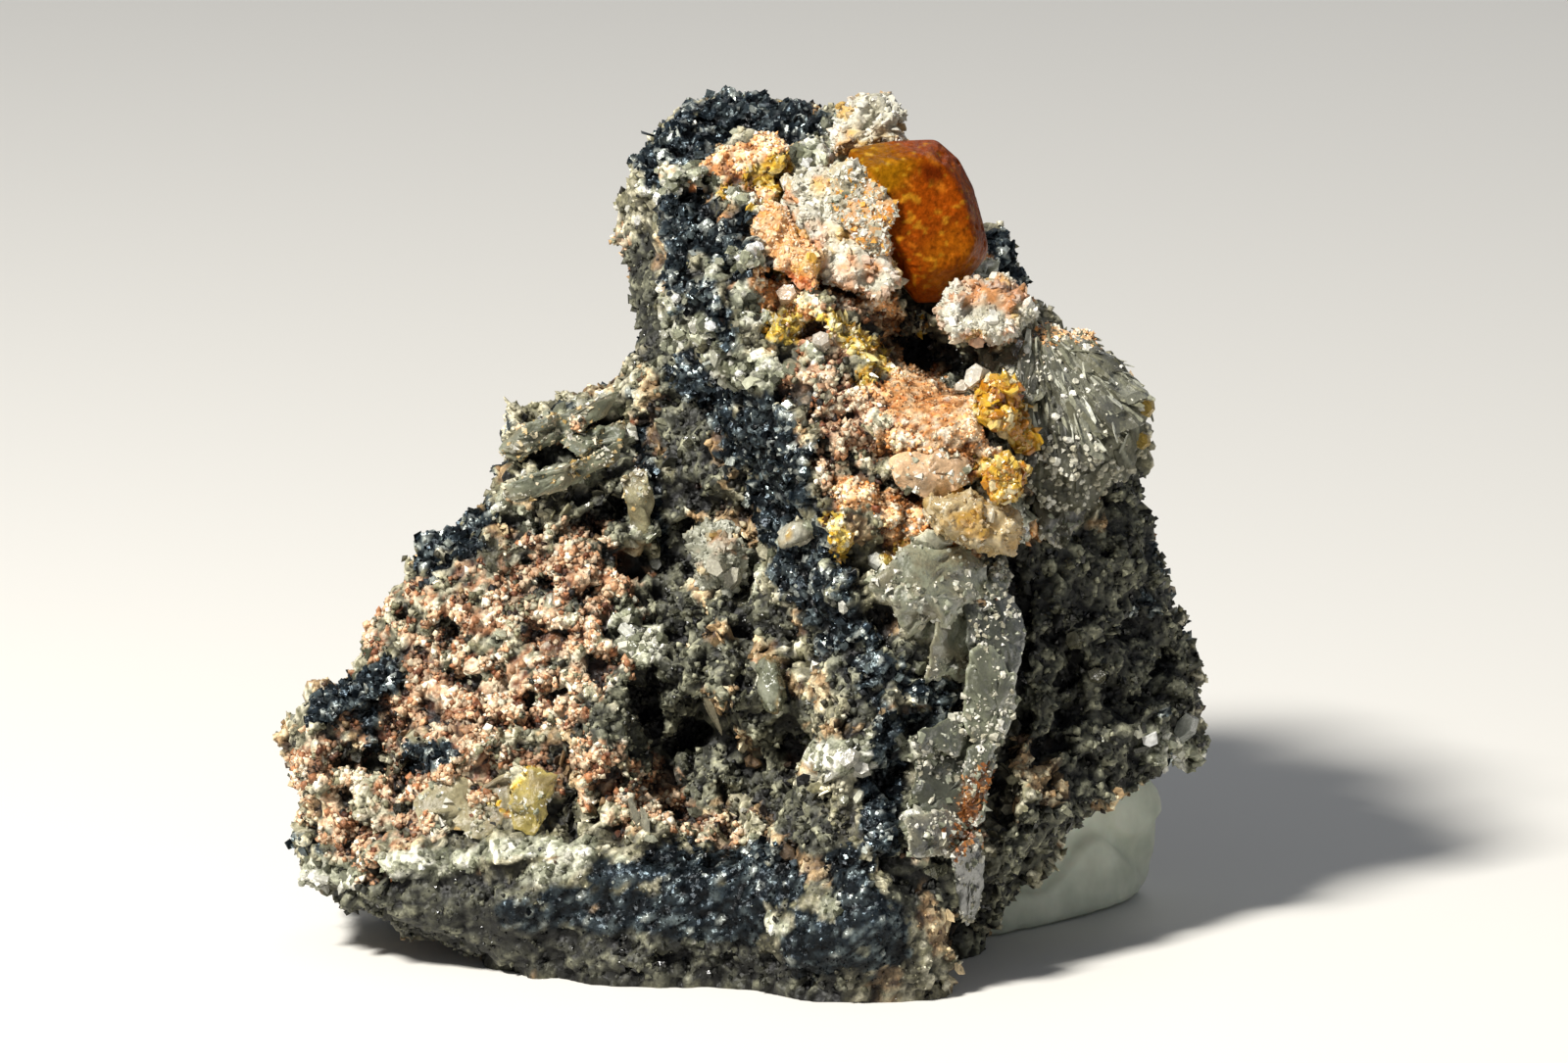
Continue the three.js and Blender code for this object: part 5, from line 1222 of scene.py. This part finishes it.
fan, fan_faces = skin_of("grey_crystal_fan", FAN_CELL, 3)
out = normals_of(fan, fan_faces)
place = to_front(fan)
from_root = place - FAN_ROOT
bearing = np.arctan2(from_root[:, 2], from_root[:, 0])
stripe = 0.5 * np.sin(bearing * 70) + 0.5 * np.sin(bearing * 113 + place[:, 1] * 2)
step_down = 0.3 * swell(np.stack([bearing * 9, place[:, 1] * 0.5, np.zeros(len(fan))], 1), 1.0, 502)
fan = fan + out * (0.06 * stripe + step_down + 0.06 * swell(place, 0.7, 501) - 0.15)[:, None] * MM
shade = 0.45 + 0.18 * stripe + 0.35 * swell(place, 1.6, 503) + 0.2 * (crumbs(place, 0.6, 511)[2] - 0.5)
parts = [(fan, fan_faces, mixed(CERUSSITE, shade))]
carrier = place[turned(out)[:, 1] < -0.1]


def fan_blade(bearing, start, end, half):
    """The outline of a blade that runs out from the fan's root on a bearing, from one distance to
    another, widest at two thirds and cut off askew: six corners across and up."""
    way = np.array([np.cos(bearing), np.sin(bearing)])
    side = np.array([-way[1], way[0]])
    return [tuple(FAN_ROOT[[0, 2]] + way * out + side * off)
            for out, off in ((start, 0.4 * half), (0.65 * end, half), (end, 0.8 * half), (end - 0.5, -half),
                             (0.6 * end, -half), (start, -0.4 * half))]


dice = np.random.default_rng(571)
blades = [(FAN_LOBE, 0.1, 0.6)]
for bearing in np.radians(np.linspace(-30, -86, FAN_BLADES)):
    end = 7.2 + 2.0 * ramp(-bearing, 0.5, 1.0) - dice.uniform(0, 2.0)
    outline = fan_blade(bearing + dice.normal(0, 0.04), dice.uniform(0.8, 3.0), end, dice.uniform(0.35, 0.8))
    blades.append((outline, dice.uniform(0.0, 0.5), dice.uniform(0.2, 0.9)))
for turn, (outline, lift, number) in enumerate(blades):
    points, corners, share = leaf(outline, lift, 0.22, 601 + 5 * turn, carrier, steps=44, rings=5)
    spot = to_front(points) - FAN_ROOT
    streak = np.stack([np.arctan2(spot[:, 2], spot[:, 0]) * 26, np.hypot(spot[:, 0], spot[:, 2]) * 0.5,
                       np.full(len(spot), turn * 3.0)], 1)
    # Painted highlight: each blade is lighter at its rim.
    mottle = (0.85 + 0.35 * swell(streak, 1.0, 586) + 0.25 * swell(spot, 0.7, 587)
              + 0.25 * ramp(share, 0.86, 1))
    tint = mixed(CERUSSITE, np.full(len(points), number)) * BLADE_LIGHT * mottle[:, None]
    parts.append((points, corners, tint))
base, base_faces, base_tint = joined(parts)
place = to_front(base)
dark = ramp(18.5 - place[:, 0] + 1.2 * (29.3 - place[:, 2]), 0.5, 2.5) * ramp(29.6 - place[:, 2], 0, 1.5)
peach = ramp(place[:, 2], 33.2, 34.4) * ramp(18.6 - place[:, 0], 0, 1)
parts = [(base, base_faces, base_tint * (1 - 0.3 * dark)[:, None])]
from_root = place - FAN_ROOT
carriers.append(place)
lay = heading(from_root[:, 0], 0, from_root[:, 2])
lay /= np.linalg.norm(lay, axis=1, keepdims=True)
for step, (count, crystal, low, high, ratio, lean, sunk, along, wanted, row) in enumerate((
        (420, BLADE, 0.14, 0.34, 3.0, 0.12, 0.7, lay, 1.1 - dark, CERUSSITE),
        (110, BLADE, 0.07, 0.15, 4.0, 0.2, 0.4, lay, 1.1 - dark, GREYISH),
        (750, POINT, 0.08, 0.24, 1.0, 0.7, 0.7, None, 0.1 + dark, MILKY),
        (1200, CHIPS, 0.05, 0.14, 1.0, 0.8, 0.5, None, 0.4 + 0.6 * ramp(17 - place[:, 0], 0, 2), MILKY),
        (800, CHIPS, 0.06, 0.18, 1.0, 0.8, 0.5, None, peach + 0.001, PEACHY))):
    more, numbers, under = seeded(base, base_faces, wanted, count, crystal, low, high, ratio, lean, sunk, 0.1,
                                  521 + 5 * step, along=along)
    dice = np.random.default_rng(561 + step)
    shade = 0.75 * dice.random(len(under)) + 0.25 * (1 - dark[under])
    own = mixed(row, shade) * (1.1 - 0.1 * dark[under])[:, None]
    parts.append((more, numbers, np.repeat(own, len(crystal[0]), axis=0)))
set_out("grey_fan", parts, GREY_BLADE, "grey_cerussite", ["grey_crystal_fan"])


# Single crystals: larger quartz and smoky tablets, yellow needles and grey blades that stand out by
# themselves, each grown fast to whatever lies under it.

SINGLES = [
    # across and up in mm on the leaning front, half length, width and thickness in mm, bearing in
    # degrees, how far it turns out of the front, crystal, tint
    (11.75, 31.8, 0.75, 0.5, 0.6, 60, 0.3, TABLET, "#e9e3d4"),
    (11.1, 31.3, 0.5, 0.4, 0.4, 20, 0.3, TABLET, "#e6dcc8"),
    (3.9, 33.6, 0.55, 0.5, 0.5, 10, 0.3, TABLET, "#ddd3c3"),
    (2.2, 36, 0.6, 0.5, 0.4, 30, 0.4, TABLET, "#e2c9ae"),
    (-1.5, 22.3, 0.6, 0.45, 0.4, 140, 0.4, TABLET, "#cfcab6"),
    (-0.6, 21.6, 0.7, 0.4, 0.35, 70, 0.2, TABLET, "#bdb9a6"),
    (7.4, 40.5, 0.5, 0.12, 0.12, 20, 0.5, NEEDLE, "#d2a12c"),
    (7.8, 40, 0.55, 0.13, 0.13, -10, 0.4, NEEDLE, "#dcb44a"),
    (7.3, 39.5, 0.5, 0.12, 0.12, -35, 0.5, NEEDLE, "#cf9a28"),
    (8.1, 39.7, 0.45, 0.12, 0.12, 15, 0.3, NEEDLE, "#e2c468"),
    (7.6, 39, 0.5, 0.13, 0.13, -20, 0.5, NEEDLE, "#d6a838"),
    (20.5, 30.3, 0.5, 0.4, 0.2, 80, 0.2, TABLET, "#cdb060"),
    (20.3, 28.6, 0.5, 0.4, 0.2, 70, 0.2, TABLET, "#c9ab58"),
    (-1.7, 14.8, 1.2, 0.22, 0.3, -62, 0.2, BLADE, "#8a836c"),
    (-5.5, 9.4, 1.1, 0.26, 0.26, -68, 0.2, BLADE, "#94917f"),
    (-5, 9.1, 0.9, 0.22, 0.22, -75, 0.3, BLADE, "#a7a491"),
    (4.9, 5.1, 0.45, 0.4, 0.4, 10, 0.4, TABLET, "#c9c4b4"),
    (22.7, 13.9, 0.8, 0.5, 0.5, 60, 0.3, TABLET, "#b5b8ae"),
    (16.8, 18.4, 0.5, 0.4, 0.4, 50, 0.4, TABLET, "#85826a"),
    (18, 16.6, 0.5, 0.4, 0.4, 20, 0.4, TABLET, "#7c7962"),
    (5.3, 12.6, 0.6, 0.4, 0.4, 60, 0.4, TABLET, "#cfccc0"),
    (5.9, 12, 0.5, 0.4, 0.4, 10, 0.4, TABLET, "#d8d5c9"),
]
# In mm: one further than this from any skin is moved to the nearest, and it is rooted this deep below the
# foremost point of what lies within this reach.
OFF_SKIN, ROOTED, REACH = 0.2, 0.15, 0.35

ground = np.concatenate(carriers)
parts = []
for turn, (across, up, length, width, thickness, bearing, out, crystal, tint) in enumerate(SINGLES):
    away = near_to(ground, (across, up))
    if away.min() > OFF_SKIN:
        across, _, up = ground[away.argmin()]
    near = ground[near_to(ground, (across, up)) < REACH]
    place = from_front(across, near[:, 1].min() + ROOTED, up)[None]
    bearing = np.radians(bearing)
    way = heading(np.cos(bearing), -out, np.sin(bearing))
    flat = heading(-0.3 * np.sin(bearing), -1.0, 0.3 * np.cos(bearing))
    size = np.array([[length, width, thickness]])
    if crystal is NEEDLE:
        size, flat, way = size[:, [1, 2, 0]], way, flat
    more, numbers, inside = grown_on(place, flat[None] / MM, crystal, size, 0.0, 0.8, 0.14, 701 + turn,
                                     along=way[None] / MM, stray=0.0)
    if inside.any():
        parts.append((more, numbers, np.tile(linear(tint), (len(more), 1))))
set_out("single_crystals", parts, CLEAR, "clear_quartz")


# The putty: a soft pale wad of display putty, pressed by hand under the rock to hold it level. It is
# smooth, with a few soft folds, and flat where it stands.

PUTTY_CELL = 0.35
# The pale cloudy bands are this many to a mm, about 4 mm apart.
BANDS_PER_MM = 0.26

wad, wad_faces = skin_of("putty_wad", PUTTY_CELL, 10)
out = normals_of(wad, wad_faces)
place = to_front(wad)
foot = wad[:, 2] < FOOT
# The folds are about 7 mm apart, and wander.
fold = np.sin(2.1 * (place[:, 2] - 0.3 * place[:, 0]) / 2.4 + 1.5 * swell(place, 3, 602))
wad = wad + out * np.where(foot, 0, 0.12 * swell(place, 2.4, 601) - 0.35 * ramp(fold, 0.75, 1))[:, None] * MM


def putty_finish():
    """Display putty, kneaded and pressed: waxy and dull, pale grey-green, and light sinks in a little."""
    finish = bpy.data.materials.new("Pressed display putty")
    finish.use_nodes = True
    tree = finish.node_tree
    shader = tree.nodes["Principled BSDF"]
    place = add(tree, "ShaderNodeTexCoord").outputs["Object"]
    cloud = add(tree, "ShaderNodeTexNoise", {"Vector": place, "Scale": BANDS_PER_MM / MM, "Detail": 4.0})
    bands = add(tree, "ShaderNodeValToRGB", {"Fac": cloud.outputs["Fac"]})
    stops = bands.color_ramp.elements
    stops[0].position, stops[0].color = 0.35, (*linear("#a4aa98"), 1)
    stops[1].position, stops[1].color = 0.65, (*linear("#d6dac8"), 1)
    bump = add(tree, "ShaderNodeBump", {"Height": cloud.outputs["Fac"], "Distance": 0.0001, "Strength": 0.5})
    tree.links.new(bands.outputs["Color"], shader.inputs["Base Color"])
    tree.links.new(bump.outputs[0], shader.inputs["Normal"])
    shader.inputs["Roughness"].default_value = 0.6
    shader.inputs["Subsurface Weight"].default_value = 0.15
    shader.inputs["Subsurface Scale"].default_value = 0.001
    return finish


piece("putty", wad, wad_faces, putty_finish(), "putty", ["putty_wad"])


# The setting: a plain pale floor, soft light from the upper left, and a camera square to the lean. None
# of it belongs to the specimen.

def plain_finish(name, colour):
    """Flat studio paint, rolled on: one even colour with no shine."""
    finish = bpy.data.materials.new(name)
    finish.use_nodes = True
    shader = finish.node_tree.nodes["Principled BSDF"]
    shader.inputs["Base Color"].default_value = (*linear(colour), 1)
    shader.inputs["Roughness"].default_value = 0.9
    return finish


floor_mesh = mesh_of("floor", np.array([(-2, -2, 0), (2, -2, 0), (2, 2, 0), (-2, 2, 0)]) * 1.0,
                     np.array([(0, 1, 2, 3)]))
floor_mesh.materials.append(plain_finish("Pale studio floor", "#d6d4ce"))
floor = bpy.data.objects.new("floor", floor_mesh)
bpy.context.scene.collection.objects.link(floor)

world = bpy.data.worlds.new("studio")
world.use_nodes = True
world.node_tree.nodes["Background"].inputs["Color"].default_value = (0.82, 0.88, 1.0, 1)
world.node_tree.nodes["Background"].inputs["Strength"].default_value = 0.21
bpy.context.scene.world = world


def lamp(name, place, aim, width, power, colour):
    """A square soft lamp at a place, turned to aim, all in metres."""
    light = bpy.data.lights.new(name, "AREA")
    light.size = width
    light.energy = power
    light.color = colour
    made = bpy.data.objects.new(name, light)
    made.location = place
    made.rotation_euler = (Vector(aim) - Vector(place)).to_track_quat("-Z", "Y").to_euler()
    bpy.context.scene.collection.objects.link(made)


# The key makes the light and the shadows, the fill opens them a little, and the rim lights the back.
MIDDLE = (0, 0, 0.02)
lamp("key", (-0.24, -0.26, 0.40), MIDDLE, 0.08, 5.5, (1.0, 0.97, 0.92))
lamp("fill", (0.40, -0.30, 0.15), MIDDLE, 0.30, 0.12, (0.90, 0.95, 1.0))
lamp("rim", (0.10, 0.35, 0.35), MIDDLE, 0.20, 0.25, (1.0, 1.0, 1.0))

# A long lens on a sensor this wide, in mm, and how far off in metres the camera stands.
LENS, SENSOR, DISTANCE = 270, 36, 0.6
camera = bpy.data.objects.new("camera", bpy.data.cameras.new("camera"))
camera.data.lens = LENS
camera.data.sensor_width = SENSOR
aim = Vector(from_front(2.0, -4.0, 23.975).tolist())
look = Vector((0, np.cos(LEAN), -np.sin(LEAN)))
camera.location = aim - look * DISTANCE
camera.rotation_euler = look.to_track_quat("-Z", "Y").to_euler()
camera.data.clip_start, camera.data.clip_end = 0.01, 10
bpy.context.scene.collection.objects.link(camera)
bpy.context.scene.camera = camera
bpy.context.scene.view_settings.view_transform = "Standard"
